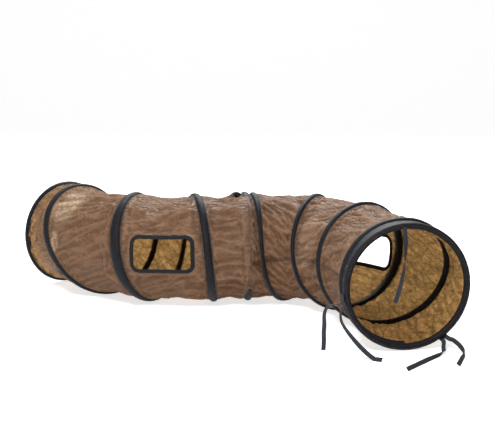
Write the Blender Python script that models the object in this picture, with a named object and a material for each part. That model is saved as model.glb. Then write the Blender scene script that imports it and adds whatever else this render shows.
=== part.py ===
"""A pop-up cat tunnel: thin cloth drawn over a spring steel coil, lying open in an S on the floor.

The tunnel's middle line is an S of level arcs. The coil leaves the left end ring at its bottom,
climbs its far side and makes six and a half turns to the mouth ring. Bays are counted from the
left end: bay 1 and bay 6 hold a turn and a half, the others one turn each. The bays meet where the
coil passes the top, and there each bay can close flat on the next one.
"""

import math

import bmesh
import bpy
from mathutils import Matrix, Vector

# Counts
sides = 32
wire_sides = 6
bay_rows = (7, 5, 4, 5, 5, 7)
corner_points = 4
side_points = 4

# Cloth tube
cloth_radius = 0.124
cloth_thickness = 0.0008
cloth_draw = 0.004
full_draw_span = 0.06

# Binding tape over the wire
tape_width = 0.018
tape_crown_width = 0.012
tape_height = 0.006

# Spring steel wire and the sleeves that close its rings
wire_diameter = 0.0022
sleeve_diameter = 0.0028
sleeve_length = 0.020

# Clearances
cloth_gap = 0.0006
channel_gap = 0.0003
end_gap = 0.0003
floor_gap = 0.0003

# Middle line: its lengths from one top of the coil to the next, with the pieces past them at both ends
left_end_length = 0.060
first_turn_length = 0.230
near_window_turn_length = 0.160
straight_turn_length = 0.115
middle_turn_length = 0.170
far_window_turn_length = 0.160
last_turn_length = 0.215
mouth_end_length = 0.055

# The way the middle line faces at the ends of those lengths, turned from +X towards -Y
facing_degrees = (43, 59, 32, -5, -5, 38, 67, 83, 82)
middle_station = 4
ring_stations = (0, 4, 8)

# Share of a whole turn's length that the coil gains on the near side, for turns 1 to 6
near_side_shares = (0.65, 0.34, 0.38, 0.55, 0.64, 0.43)

# The stations where bays begin and end, counted along arc_lengths, and the coil's turns there
bay_starts = (0, 2, 3, 4, 5, 6)
bay_ends = (2, 3, 4, 5, 6, 8)
bay_turn_starts = (-0.5, 1, 2, 3, 4, 5)
bay_turn_ends = (1, 2, 3, 4, 5, 6.5)

# Windows: bound openings in the cloth on the outside of each bend, so far into their bays
window_height = 0.092
near_window_length = 0.154
far_window_length = 0.150
window_corner = 0.022
window_binding_width = 0.010
window_binding_thickness = 0.003
near_window_way = 0.1005
far_window_way = 0.060
near_window_bay = 1
far_window_bay = 4
near_window_degrees = 86
far_window_degrees = 265

# Ties: ribbons folded in two and sewn to the mouth ring's binding
ribbon_width = 0.009
ribbon_thickness = 0.0008
tab_length = 0.014
left_tie_degrees = 97
right_tie_degrees = 215
top_tie_degrees = 4

# Routes of the ribbon tails from the tab that holds them
left_tail_a_route = (
    (0.000, 0.000, 0.000), (0.000, 0.000, -0.001), (-0.003, 0.000, -0.004), (-0.008, -0.001, -0.006),
    (-0.015, -0.002, -0.006), (-0.025, -0.004, -0.007), (-0.033, -0.006, -0.013), (-0.037, -0.007, -0.026),
    (-0.037, -0.007, -0.044), (-0.038, -0.007, -0.062), (-0.038, -0.007, -0.080), (-0.039, -0.007, -0.098),
)
left_tail_b_route = (
    (0.000, 0.000, 0.000), (0.000, 0.000, -0.003), (0.000, -0.003, -0.009), (-0.006, -0.010, -0.014),
    (-0.008, -0.017, -0.024), (-0.006, -0.023, -0.035), (0.001, -0.028, -0.047), (0.010, -0.032, -0.059),
    (0.020, -0.035, -0.071), (0.031, -0.038, -0.083), (0.043, -0.042, -0.094), (0.056, -0.047, -0.103),
    (0.069, -0.053, -0.107),
)
right_tail_a_route = (
    (0.000, 0.000, 0.000), (0.0006, -0.004, 0.000), (0.001, -0.010, -0.004), (-0.001, -0.018, -0.010),
    (-0.002, -0.027, -0.017), (-0.005, -0.037, -0.021), (-0.013, -0.051, -0.022), (-0.026, -0.065, -0.022),
    (-0.041, -0.081, -0.022), (-0.057, -0.099, -0.022), (-0.074, -0.118, -0.022), (-0.091, -0.137, -0.022),
)
right_tail_b_route = (
    (0.000, 0.000, 0.000), (0.0006, -0.004, 0.000), (0.005, -0.008, -0.002), (0.013, -0.009, -0.005),
    (0.021, -0.014, -0.011), (0.027, -0.022, -0.017), (0.029, -0.033, -0.021), (0.028, -0.047, -0.022),
    (0.023, -0.062, -0.022), (0.016, -0.079, -0.022), (0.009, -0.097, -0.022), (0.002, -0.115, -0.022),
)
top_tail_route = (
    (0.000, 0.000, 0.000), (0.0003, -0.002, 0.000), (0.000, -0.004, -0.003), (0.001, -0.004, -0.014),
    (0.002, -0.004, -0.030), (0.002, -0.003, -0.048), (0.001, -0.002, -0.066), (-0.001, -0.002, -0.084),
    (-0.004, -0.002, -0.102), (-0.008, -0.003, -0.119), (-0.013, -0.004, -0.136), (-0.018, -0.005, -0.151),
)

# Worked out from the sizes above
arc_lengths = (
    left_end_length, first_turn_length, near_window_turn_length, straight_turn_length,
    middle_turn_length, far_window_turn_length, last_turn_length, mouth_end_length,
)
flat_angle = 2 * math.pi / sides
flat_share = math.cos(flat_angle / 2)
tape_seat = cloth_radius + cloth_gap
tape_outside = tape_seat + tape_height
wire_centre = tape_seat + sleeve_diameter / 2
channel_depth = sleeve_diameter / 2 + (sleeve_diameter / 2 + channel_gap) * math.sqrt(2)
axis_height = tape_outside * flat_share
tape_pitch = tape_width + end_gap
tab_thickness = 2 * ribbon_thickness
pair_width = 2 * ribbon_width + end_gap
stations = [sum(arc_lengths[:count]) for count in range(len(arc_lengths) + 1)]
facings = [-math.radians(angle) for angle in facing_degrees]

brown_cloth = (0.216, 0.130, 0.080)
black_tape = (0.020, 0.022, 0.030)
spring_steel = (0.42, 0.42, 0.43)


def arc_step(length, start, end):
    """The way travelled along an arc that turns from one facing to another."""
    if abs(end - start) < 1e-9:
        return Vector((math.cos(start), math.sin(start), 0)) * length
    radius = length / (end - start)
    return Vector((math.sin(end) - math.sin(start), math.cos(start) - math.cos(end), 0)) * radius


def station_points():
    """The middle line's points at the ends of its arcs, with the middle station at zero."""
    points = [Vector((0, 0, axis_height))]
    for number, length in enumerate(arc_lengths):
        points.append(points[-1] + arc_step(length, facings[number], facings[number + 1]))
    shift = Vector((points[middle_station].x, points[middle_station].y, 0))
    return [point - shift for point in points]


middle_line = station_points()


def frame_at(place):
    """Point and facing of the middle line at a place along it, straight on past both ends."""
    last = len(arc_lengths) - 1
    number = max(index for index in range(last + 1) if index == 0 or stations[index] <= place)
    beyond = min(place, 0) + max(place - stations[-1], 0)
    share = (place - beyond - stations[number]) / arc_lengths[number]
    facing = facings[number] + (facings[number + 1] - facings[number]) * share
    step = arc_step(arc_lengths[number] * share, facings[number], facing)
    straight = Vector((math.cos(facing), math.sin(facing), 0)) * beyond
    return middle_line[number] + step + straight, facing


def flat_factor(angle):
    """How far out a point lies on the many-sided outline, against its corners."""
    off = (angle + flat_angle / 2) % flat_angle - flat_angle / 2
    return flat_share / math.cos(off)


def wall_point(place, angle, radius):
    """A point on the tunnel's wall. The angle runs from the top down the near side."""
    centre, facing = frame_at(place)
    near = Vector((math.sin(facing), -math.cos(facing), 0))
    out = near * math.sin(angle) + Vector((0, 0, 1)) * math.cos(angle)
    return centre + out * (radius * flat_factor(angle))


def coil_place(turns):
    """Where along the middle line the coil is after so many turns, counted at the top."""
    if turns < 0:
        return tape_pitch + (stations[1] - tape_pitch) * (turns + 0.5) * 2
    if turns > 6:
        return stations[7] + (arc_lengths[7] - tape_pitch) * (turns - 6) * 2
    number = min(int(turns), 5)
    part = turns - number
    lean = (near_side_shares[number] - 0.5) * (1 - math.cos(2 * math.pi * part)) / 2
    start = stations[number + 1] + (tape_pitch if number + 1 == middle_station else 0)
    end = stations[number + 2] - (tape_pitch if number + 2 == middle_station else 0)
    return start + (end - start) * (part + lean)


def bindings_at(angle):
    """Places where a binding crosses the wall at an angle."""
    share = (angle / (2 * math.pi)) % 1
    places = [0, stations[middle_station], stations[-1]]
    places += [coil_place(count + share) for count in range(-1, 7) if -0.5 <= count + share <= 6.5]
    return sorted(places)


def cloth_radius_at(place, angle):
    """The cloth is drawn in between one binding and the next."""
    places = bindings_at(angle)
    before = [mark for mark in places if mark <= place]
    after = [mark for mark in places if mark > place]
    if not before or not after:
        return cloth_radius
    span = after[0] - before[-1] - tape_width
    free = place - before[-1] - tape_width / 2
    if not 0 < free < span:
        return cloth_radius
    depth = cloth_draw * min(1, span / full_draw_span)
    return cloth_radius - depth * math.sin(math.pi * free / span) ** 2


def make_material(name, colour, roughness, metallic=0.0):
    """A plain surface for one piece."""
    material = bpy.data.materials.new(name)
    material.use_nodes = True
    shader = material.node_tree.nodes["Principled BSDF"]
    shader.inputs["Base Color"].default_value = (*colour, 1)
    shader.inputs["Roughness"].default_value = roughness
    shader.inputs["Metallic"].default_value = metallic
    material.diffuse_color = (*colour, 1)
    return material


def make_object(name, points, faces, material, smooth=True):
    """One named solid from its points and faces."""
    mesh = bpy.data.meshes.new(name)
    mesh.from_pydata([tuple(point) for point in points], [], faces)
    work = bmesh.new()
    work.from_mesh(mesh)
    bmesh.ops.recalc_face_normals(work, faces=work.faces)
    work.to_mesh(mesh)
    work.free()
    mesh.polygons.foreach_set("use_smooth", [smooth] * len(mesh.polygons))
    mesh.materials.append(material)
    made = bpy.data.objects.new(name, mesh)
    bpy.context.scene.collection.objects.link(made)
    return made


def sweep(rings, closed):
    """Points and faces of a tube through rings of points."""
    width = len(rings[0])
    points = [point for ring in rings for point in ring]
    steps = len(rings) if closed else len(rings) - 1
    faces = []
    for row in range(steps):
        here = row * width
        there = (row + 1) % len(rings) * width
        for side in range(width):
            beside = (side + 1) % width
            faces.append((here + side, here + beside, there + beside, there + side))
    if not closed:
        faces.append(tuple(range(width))[::-1])
        faces.append(tuple(range(len(points) - width, len(points))))
    return points, faces


def angles_between(start, end):
    """The outline's corner angles from start to end, with both ends."""
    first = math.floor(start / flat_angle - 0.5) + 1
    last = math.ceil(end / flat_angle - 0.5)
    corners = [(number + 0.5) * flat_angle for number in range(first, last)]
    inside = [angle for angle in corners if start + 1e-6 < angle < end - 1e-6]
    return [start, *inside, end]


def tape_section():
    """The binding's section: its way along the tunnel and its radius, with a channel for the wire."""
    half, crown = tape_width / 2, tape_crown_width / 2
    return [
        (-half, tape_seat), (-crown, tape_outside), (crown, tape_outside), (half, tape_seat),
        (channel_depth, tape_seat), (0, tape_seat + channel_depth), (-channel_depth, tape_seat),
    ]


def round_section(diameter):
    """A round wire's section inside the channel."""
    turns = [2 * math.pi * (count + 0.5) / wire_sides for count in range(wire_sides)]
    size = diameter / 2
    return [(size * math.cos(turn), wire_centre + size * math.sin(turn)) for turn in turns]


def along_path(path, section):
    """The section carried along a path of (place, angle) pairs."""
    return [[wall_point(place + way, angle, out) for way, out in section] for place, angle in path]


def ring_path(place, start=None, end=None):
    """A ring at one place: closed, or from one angle to another."""
    if start is None:
        return [(place, (count + 0.5) * flat_angle) for count in range(sides)]
    return [(place, angle) for angle in angles_between(start, end)]


def coil_path(start, end):
    """The coil from one count of turns to another, stopping half an end gap short of each."""
    trim = end_gap / 2 / cloth_radius
    angles = angles_between(2 * math.pi * start + trim, 2 * math.pi * end - trim)
    return [(coil_place(angle / (2 * math.pi)), angle) for angle in angles]


def make_tape(name, path, closed):
    """A length of binding tape."""
    points, faces = sweep(along_path(path, tape_section()), closed)
    return make_object(name, points, faces, make_material(name, black_tape, 0.75), smooth=False)


def make_wire(name, path, diameter, closed=False):
    """A length of spring wire, or the sleeve over its ends."""
    points, faces = sweep(along_path(path, round_section(diameter)), closed)
    return make_object(name, points, faces, make_material(name, spring_steel, 0.3, 1.0))


def make_ring(label, place):
    """A closed ring of the coil: its binding, its wire and the sleeve that joins the wire's ends."""
    half = sleeve_length / 2 / wire_centre
    trim = end_gap / wire_centre
    sleeve_angle = 1.5 * math.pi
    tape = make_tape(f"{label}_binding", ring_path(place), True)
    open_path = ring_path(place, sleeve_angle + half + trim, sleeve_angle + 2 * math.pi - half - trim)
    wire = make_wire(f"{label}_wire", open_path, wire_diameter)
    sleeve_path = ring_path(place, sleeve_angle - half, sleeve_angle + half)
    sleeve = make_wire(f"{label}_sleeve", sleeve_path, sleeve_diameter)
    return [tape, wire, sleeve]


def window_outline(centre, centre_angle, length, stretch, inset):
    """A rounded window's outline as (place, angle) pairs, going round once."""
    half_long = length / 2 - inset
    half_high = window_height / 2 - inset
    corner = window_corner - inset
    pairs = []
    for quarter in range(4):
        turn = quarter * math.pi / 2
        middle_x = (half_long - corner) * (1 if quarter in (0, 3) else -1)
        middle_y = (half_high - corner) * (1 if quarter in (0, 1) else -1)
        for step in range(corner_points):
            angle = turn + math.pi / 2 * step / (corner_points - 1)
            pairs.append((middle_x + corner * math.cos(angle), middle_y + corner * math.sin(angle)))
        last = pairs[-1]
        nearer = -1 if quarter in (0, 2) else 0
        away = (2 * middle_x * nearer, 2 * middle_y * (-1 - nearer))
        for step in range(1, side_points):
            share = step / side_points
            pairs.append((last[0] + away[0] * share, last[1] + away[1] * share))
    return [(centre + x / stretch, centre_angle + y / cloth_radius) for x, y in pairs]


def wall_stretch(centre, outward):
    """How much longer the outer wall of a bend is than the middle line."""
    number = max(index for index in range(len(arc_lengths)) if stations[index] <= centre)
    turn = abs(facings[number + 1] - facings[number])
    return 1 + outward * cloth_radius * turn / arc_lengths[number]


def make_window_binding(name, centre, degrees, length):
    """The binding sewn round a window."""
    stretch = wall_stretch(centre, 1)
    outer = window_outline(centre, math.radians(degrees), length, stretch, 0)
    inner = window_outline(centre, math.radians(degrees), length, stretch, window_binding_width)
    half = window_binding_thickness / 2
    rings = []
    for (place_a, angle_a), (place_b, angle_b) in zip(outer, inner):
        radius_a = cloth_radius_at(place_a, angle_a) - cloth_thickness / 2
        radius_b = cloth_radius_at(place_b, angle_b) - cloth_thickness / 2
        rings.append([
            wall_point(place_a, angle_a, radius_a + half),
            wall_point(place_b, angle_b, radius_b + half),
            wall_point(place_b, angle_b, radius_b - half),
            wall_point(place_a, angle_a, radius_a - half),
        ])
    points, faces = sweep(rings, True)
    return make_object(name, points, faces, make_material(name, black_tape, 0.75), smooth=False)


def make_window_cutter(centre, degrees, length):
    """The block that opens a window in the cloth, a seam gap larger than its binding."""
    stretch = wall_stretch(centre, 1)
    outline = window_outline(centre, math.radians(degrees), length, stretch, -end_gap)
    depth = tape_height
    inside = [wall_point(place, angle, cloth_radius - depth) for place, angle in outline]
    outside = [wall_point(place, angle, cloth_radius + depth) for place, angle in outline]
    points, faces = sweep([inside, outside], False)
    return make_object("window_cutter", points, faces, None)


def cloth_places(bay):
    """The rows of the cloth in one bay, along the middle line."""
    first, last = bay == 0, bay == len(bay_rows) - 1
    start = tape_width / 2 if first else stations[bay_starts[bay]] + end_gap / 2
    end = stations[-1] - tape_width / 2 if last else stations[bay_ends[bay]] - end_gap / 2
    rows = bay_rows[bay] - (first or last)
    places = [start + (end - start) * row / rows for row in range(rows + 1)]
    return [-start] * first + places + [stations[-1] + tape_width / 2] * last


def make_cloth(name, bay, window=None):
    """The cloth of one bay: a thin tube, drawn in between its bindings."""
    angles = [(count + 0.5) * flat_angle for count in range(sides)]
    places = cloth_places(bay)
    outer = [[wall_point(p, a, cloth_radius_at(p, a)) for a in angles] for p in places]
    inner = [[wall_point(p, a, cloth_radius_at(p, a) - cloth_thickness) for a in angles] for p in places]
    points, faces = sweep(outer + inner[::-1], True)
    cloth = make_object(name, points, faces, make_material(name, brown_cloth, 0.55))
    if window:
        cutter = make_window_cutter(*window)
        cut = cloth.modifiers.new("window", "BOOLEAN")
        cut.operation = "DIFFERENCE"
        cut.solver = "EXACT"
        cut.object = cutter
        shape = bpy.data.meshes.new_from_object(cloth.evaluated_get(bpy.context.evaluated_depsgraph_get()))
        cloth.modifiers.clear()
        cloth.data = shape
        shape.name = name
        bpy.data.objects.remove(cutter, do_unlink=True)
    return cloth


def make_ribbon(name, start, route, first_flat, last_flat):
    """A ribbon tail. It follows its route, turns its width on the way and stays off the floor."""
    rings = []
    places = [start + Vector(point) for point in route]
    for number, place in enumerate(places):
        share = number / (len(places) - 1)
        flat = Vector(first_flat) * (1 - share) + Vector(last_flat) * share
        way = (places[min(number + 1, len(places) - 1)] - places[max(number - 1, 0)]).normalized()
        across = (flat - way * flat.dot(way)).normalized()
        lift = way.cross(across) * (ribbon_thickness / 2)
        side = across * (ribbon_width / 2)
        ring = [place - side - lift, place + side - lift, place + side + lift, place - side + lift]
        off_floor = Vector((0, 0, max(0, floor_gap - min(point.z for point in ring))))
        rings.append([point + off_floor for point in ring])
    points, faces = sweep(rings, False)
    return make_object(name, points, faces, make_material(name, black_tape, 0.6), smooth=False)


def make_tab(name, degrees, radius, along, around):
    """The folded middle of a ribbon, sewn flat on the mouth ring's binding."""
    angle = math.radians(degrees)
    half = around / 2 / radius
    outer = radius + tab_thickness
    section = [(-along / 2, radius), (-along / 2, outer), (along / 2, outer), (along / 2, radius)]
    path = [(stations[-1], mark) for mark in angles_between(angle - half, angle + half)]
    points, faces = sweep(along_path(path, section), False)
    return make_object(name, points, faces, make_material(name, black_tape, 0.6), smooth=False)


def tail_start(degrees, radius, forward, below):
    """Where a tail leaves its tab: how far forward along the tunnel and below around it."""
    out = radius + tab_thickness / 2
    return wall_point(stations[-1] + forward, math.radians(degrees) + below / radius, out)


def closing_joint(bay):
    """The one joint that closes a bay on its neighbour nearer the middle, until its tapes lie side by side."""
    left = bay < 3
    start, end = bay_starts[bay], bay_ends[bay]
    fixed, moved = (end, start) if left else (start, end)
    turns = bay_turn_ends[bay] - bay_turn_starts[bay] + (start in ring_stations or end in ring_stations)
    way = Vector((math.cos(facings[fixed]), math.sin(facings[fixed]), 0)) * (-1 if left else 1)
    closed = middle_line[fixed] + way * (tape_pitch * turns)
    turn = facings[fixed] - facings[moved]
    chord = closed - middle_line[moved]
    if abs(turn) < 1e-6:
        return {"type": "slide", "axis": chord.normalized(), "range": chord.length, "at": middle_line[moved]}
    middle = (closed + middle_line[moved]) / 2
    pivot = middle + Vector((-chord.y, chord.x, 0)) / (2 * math.tan(turn / 2))
    pivot.z = 0
    axis = Vector((0, 0, 1 if turn > 0 else -1))
    return {"type": "hinge", "axis": axis, "range": abs(turn), "at": pivot}


def least_coil_gap():
    """Least gap between the coil and itself, one turn on or at a ring, from wire face to wire face."""
    steps = 12 * sides
    marks = [-0.5 + 7 * step / steps for step in range(steps + 1)]
    points = [wall_point(coil_place(mark), 2 * math.pi * mark, wire_centre) for mark in marks]
    apart = int(steps / 7 / 2)
    least = min(
        (points[one] - points[two]).length
        for one in range(0, len(points), 2)
        for two in range(one + apart, len(points), 2)
    )
    return least - wire_diameter


def clear_scene():
    """Remove what the file starts with."""
    for old in list(bpy.data.objects):
        bpy.data.objects.remove(old, do_unlink=True)


def build():
    """All pieces, grouped by the body that carries them."""
    near_place = stations[bay_starts[near_window_bay]] + near_window_way
    far_place = stations[bay_starts[far_window_bay]] + far_window_way
    near_window = (near_place, near_window_degrees, near_window_length)
    far_window = (far_place, far_window_degrees, far_window_length)
    windows = {near_window_bay: near_window, far_window_bay: far_window}
    groups = {"middle": make_ring("middle_ring", stations[middle_station])}
    for bay in range(len(bay_rows)):
        number = bay + 1
        path = coil_path(bay_turn_starts[bay], bay_turn_ends[bay])
        groups[f"bay_{number}"] = [
            make_tape(f"coil_binding_{number}", path, False),
            make_wire(f"coil_wire_{number}", path, wire_diameter),
            make_cloth(f"cloth_bay_{number}", bay, windows.get(bay)),
        ]
    groups["bay_2"].append(make_window_binding("near_window_binding", *near_window))
    groups["bay_5"].append(make_window_binding("far_window_binding", *far_window))
    groups["bay_1"] += make_ring("left_ring", 0)
    groups["bay_6"] += make_ring("mouth_ring", stations[-1])
    groups["bay_6"] += build_ties()
    return groups


def build_ties():
    """The three ties on the mouth ring: two pairs of tails and one tail that hangs in the mouth."""
    outside = tape_outside + end_gap
    inside = cloth_radius - cloth_thickness - end_gap - tab_thickness
    reach = tab_length / 2 + end_gap
    facing = facings[-1]
    ahead = Vector((math.cos(facing), math.sin(facing), 0))
    near = Vector((math.sin(facing), -math.cos(facing), 0))
    low = math.radians(right_tie_degrees)
    round_low = near * math.cos(low) - Vector((0, 0, 1)) * math.sin(low)
    beside = (pair_width - ribbon_width) / 2
    left = [tail_start(left_tie_degrees, outside, side, reach) for side in (-beside, beside)]
    right = [tail_start(right_tie_degrees, outside, reach, side) for side in (-beside, beside)]
    top = tail_start(top_tie_degrees, inside, reach, 0)
    return [
        make_tab("left_tie_tab", left_tie_degrees, outside, pair_width, tab_length),
        make_tab("right_tie_tab", right_tie_degrees, outside, tab_length, pair_width),
        make_tab("top_tie_tab", top_tie_degrees, inside, tab_length, ribbon_width),
        make_ribbon("left_tie_tail_a", left[0], left_tail_a_route, ahead, (1, 0.2, 0)),
        make_ribbon("left_tie_tail_b", left[1], left_tail_b_route, ahead, (0.4, -1, 0)),
        make_ribbon("right_tie_tail_a", right[0], right_tail_a_route, round_low, (1, 0, 0)),
        make_ribbon("right_tie_tail_b", right[1], right_tail_b_route, round_low, (1, 0, 0)),
        make_ribbon("top_tie_tail", top, top_tail_route, near, (1, -0.6, 0)),
    ]


def centre_of(groups):
    """The middle of the part's outline on the floor, without its loose ribbons."""
    firm = [piece for pieces in groups.values() for piece in pieces if "_tail" not in piece.name]
    points = [vertex.co for piece in firm for vertex in piece.data.vertices]
    low = Vector((min(p.x for p in points), min(p.y for p in points), 0))
    high = Vector((max(p.x for p in points), max(p.y for p in points), 0))
    return (low + high) / 2


def carry(groups, shift):
    """Put the part over the origin and hang each bay's pieces on its joint."""
    axes = {}
    for parent, bay in (("", 2), ("bay_3", 1), ("bay_2", 0), ("", 3), ("bay_4", 4), ("bay_5", 5)):
        name = f"bay_{bay + 1}"
        joint = closing_joint(bay)
        place = joint["at"] - shift
        holder = bpy.data.objects.new(f"{name}_axis", None)
        bpy.context.scene.collection.objects.link(holder)
        holder.location = place
        if parent:
            holder.parent = axes[parent][0]
            holder.location = place - axes[parent][1]
        axes[name] = (holder, place)
        shown = joint["range"] if joint["type"] == "slide" else math.degrees(joint["range"])
        print(f"{name}_close", joint["type"], [round(v, 5) for v in place], end=" ")
        print([round(v, 5) for v in joint["axis"]], round(shown, 4))
    for name, pieces in groups.items():
        for piece in pieces:
            origin = axes[name][1] if name in axes else middle_line[middle_station] - shift
            piece.data.transform(Matrix.Translation(-origin - shift))
            if name in axes:
                piece.parent = axes[name][0]
            else:
                piece.location = origin


clear_scene()
made_groups = build()
part_centre = centre_of(made_groups)
carry(made_groups, part_centre)
bpy.context.view_layer.update()
print("shift", [round(v, 5) for v in part_centre])
for station_number, station_point in enumerate(middle_line):
    print("station", station_number, [round(v, 5) for v in station_point - part_centre])
print("least gap of the coil to itself, mm:", round(least_coil_gap() * 1000, 2))
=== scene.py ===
"""A pop-up cat tunnel: brown cloth drawn over a black-bound spring coil, dressed over its CAD frame.

The tunnel's middle line is an S of level arcs, given by the same sizes as the CAD. A place is a
distance along that line from the left end ring, an angle runs from the top down the near side, and
a turn of the coil is counted where it passes the top.
"""

import math

import bmesh
import bpy
import numpy as np
from mathutils import Matrix, Vector


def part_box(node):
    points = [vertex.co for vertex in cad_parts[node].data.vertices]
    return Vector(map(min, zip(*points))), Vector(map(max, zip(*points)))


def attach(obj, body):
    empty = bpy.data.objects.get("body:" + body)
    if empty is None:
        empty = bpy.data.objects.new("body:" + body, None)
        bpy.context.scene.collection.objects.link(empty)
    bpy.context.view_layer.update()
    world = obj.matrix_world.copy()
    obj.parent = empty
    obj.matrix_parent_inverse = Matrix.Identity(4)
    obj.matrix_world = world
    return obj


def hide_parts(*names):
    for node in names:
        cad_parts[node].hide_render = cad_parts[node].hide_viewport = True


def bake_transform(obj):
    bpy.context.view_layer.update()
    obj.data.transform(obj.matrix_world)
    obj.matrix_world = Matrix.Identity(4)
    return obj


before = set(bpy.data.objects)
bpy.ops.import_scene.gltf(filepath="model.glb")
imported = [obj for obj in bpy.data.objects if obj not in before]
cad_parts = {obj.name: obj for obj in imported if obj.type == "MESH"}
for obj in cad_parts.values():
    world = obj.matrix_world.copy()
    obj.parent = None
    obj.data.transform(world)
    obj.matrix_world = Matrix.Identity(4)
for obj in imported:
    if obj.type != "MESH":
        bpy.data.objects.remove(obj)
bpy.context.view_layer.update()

bl_info = {
    "name": "Cat tunnel",
    "version": (1, 0, 0),
    "blender": (4, 5, 0),
    "location": "View3D > Sidebar > Tunnel",
    "description": "Cloth, bindings, windows and ties of a pop-up cat tunnel",
    "category": "Add Mesh",
}

# Middle line and coil, as in the CAD
ARC_LENGTHS = np.array([0.060, 0.230, 0.160, 0.115, 0.170, 0.160, 0.215, 0.055])
FACINGS = -np.radians([43, 59, 32, -5, -5, 38, 67, 83, 82])
STATIONS = np.concatenate([[0], np.cumsum(ARC_LENGTHS)])
MIDDLE = 4
LEFT_BAYS = 3
RING_STATIONS = (0, 4, 8)
NEAR_SHARES = np.array([0.65, 0.34, 0.38, 0.55, 0.64, 0.43])
BAYS = ((0, 2, -0.5, 1), (2, 3, 1, 2), (3, 4, 2, 3), (4, 5, 3, 4), (5, 6, 4, 5), (6, 8, 5, 6.5))
CLOTH_RADIUS = 0.124
CLOTH_DRAW = 0.004
FULL_DRAW_SPAN = 0.06
TAPE_WIDTH = 0.018
TAPE_PITCH = 0.0183
TAPE_SEAT = 0.1246
TAPE_CROWN = 0.1298
TAPE_SHOULDER = 0.0072
TAPE_GAUGE = 0.0008
WIRE_CENTRE = 0.1260
WIRE_DIAMETER = 0.0022
END_GAP = 0.0003

# Soft finish of the bindings: how the tape sinks in and rounds off at its edges, and the strip inside
TAPE_SINK = 0.0004
TAPE_EDGE = 0.0003
DOME_POINTS = 11
DOME_FULLNESS = 0.8
INNER_SINK = 0.0004
INNER_GAUGE = 0.0008
INNER_EDGE = 0.0002
INNER_RISE = 0.0062
INNER_DOME = 0.86
INNER_POINTS = 9
INNER_FULLNESS = 0.7
BAND_TURNS = (5.93, 6.45)
BAND_LAP = 0.0006
BAND_SINK = 0.0002
BAND_GAUGE = 0.0007
WIRE_SIDES = 8

# Puckers of sewn tape: length, skew across the tape, start and share of each wave, and how high they are
PUCKERS = ((0.017, 0, 0, 0.5), (0.0113, 0, 1.7, 0.3), (0.029, 90, 0.6, 0.4))
TAPE_RIPPLE = 0.0004
INNER_RIPPLE = 0.0003
WINDOW_RIPPLE = 0.0003
RIPPLE_EDGE = 0.001
RIPPLE_AT_EDGE = 0.8
RIPPLE_WITHIN = 0.5
WINDOW_RIPPLE_OUT = 0.6

# Steps along the strips: per turn of the coil or a whole ring, round a window, and along a short strip.
# Points of a strip that are nearer along it than ROW_REACH are in one row
ROW_REACH = 0.00001
TAPE_STEPS = (24, 10)
WINDOW_STEPS = (40, 6)
SHORT_STEPS = {"mouth_band": 24, "tie_tab": 12}

# Stitches
STITCH_LINE = 0.0081
STITCH_HEIGHT = 0.00095
STITCH_PITCH = 0.0036
STITCH_LENGTH = 0.0026
STITCH_RADIUS = 0.00026
STITCH_SIDES = 5
STITCH_DIP = 0.0003
STITCH_TAPER = 0.6
RING_STITCHES = 210
RING_STITCH_TURN = 0.03
WINDOW_STITCHES = 116
WINDOW_STITCH_INSET = 0.0022
WINDOW_STITCH_HEIGHT = 0.0015
WINDOW_STITCH_MARK = 0.01

# Windows, as in the CAD
WINDOW_HEIGHT = 0.092
WINDOW_CORNER = 0.022
WINDOW_BINDING = 0.010
WINDOW_SINK = 0.0002
WINDOW_ROUND = 0.4
WINDOW_UV_ROUND = 0.44
CORNER_PART = 0.4
MERGE_REACH = 0.00002
WINDOWS = {
    1: ("near_window", 0.3905, math.radians(86), 0.154),
    4: ("far_window", 0.795, math.radians(265), 0.150),
}

# A window binding's section: how far in from its outer edge, and how far over or under its middle
WINDOW_SECTION = (
    (0.0002, 0), (0.0012, 0.00128), (0.003, 0.0016), (0.005, 0.00184), (0.007, 0.00176), (0.009, 0.00128),
    (0.010, 0), (0.009, -0.00128), (0.007, -0.0016), (0.003, -0.0016), (0.0012, -0.00128),
)

# Ties, as in the CAD
RIBBON_WIDTH = 0.009
RIBBON_THICKNESS = 0.0008
PAIR_WIDTH = 2 * RIBBON_WIDTH + END_GAP
TAB_LENGTH = 0.014
TAB_OUTSIDE = 0.1306 + END_GAP
TAB_INSIDE = 0.1229 - 2 * RIBBON_THICKNESS
FLOOR_GAP = 0.0003
LEFT_TIE_ANGLE = math.radians(97)
RIGHT_TIE_ANGLE = math.radians(215)
TOP_TIE_ANGLE = math.radians(4)
LEFT_TAIL_A = (
    (0.000, 0.000, 0.000), (0.000, 0.000, -0.001), (-0.003, 0.000, -0.004), (-0.008, -0.001, -0.006),
    (-0.015, -0.002, -0.006), (-0.025, -0.004, -0.007), (-0.033, -0.006, -0.013), (-0.037, -0.007, -0.026),
    (-0.037, -0.007, -0.044), (-0.038, -0.007, -0.062), (-0.038, -0.007, -0.080), (-0.039, -0.007, -0.098),
)
LEFT_TAIL_B = (
    (0.000, 0.000, 0.000), (0.000, 0.000, -0.003), (0.000, -0.003, -0.009), (-0.006, -0.010, -0.014),
    (-0.008, -0.017, -0.024), (-0.006, -0.023, -0.035), (0.001, -0.028, -0.047), (0.010, -0.032, -0.059),
    (0.020, -0.035, -0.071), (0.031, -0.038, -0.083), (0.043, -0.042, -0.094), (0.056, -0.047, -0.103),
    (0.069, -0.053, -0.107),
)
RIGHT_TAIL_A = (
    (0.000, 0.000, 0.000), (0.0006, -0.004, 0.000), (0.001, -0.010, -0.004), (-0.001, -0.018, -0.010),
    (-0.002, -0.027, -0.017), (-0.005, -0.037, -0.021), (-0.013, -0.051, -0.022), (-0.026, -0.065, -0.022),
    (-0.041, -0.081, -0.022), (-0.057, -0.099, -0.022), (-0.074, -0.118, -0.022), (-0.091, -0.137, -0.022),
)
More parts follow.
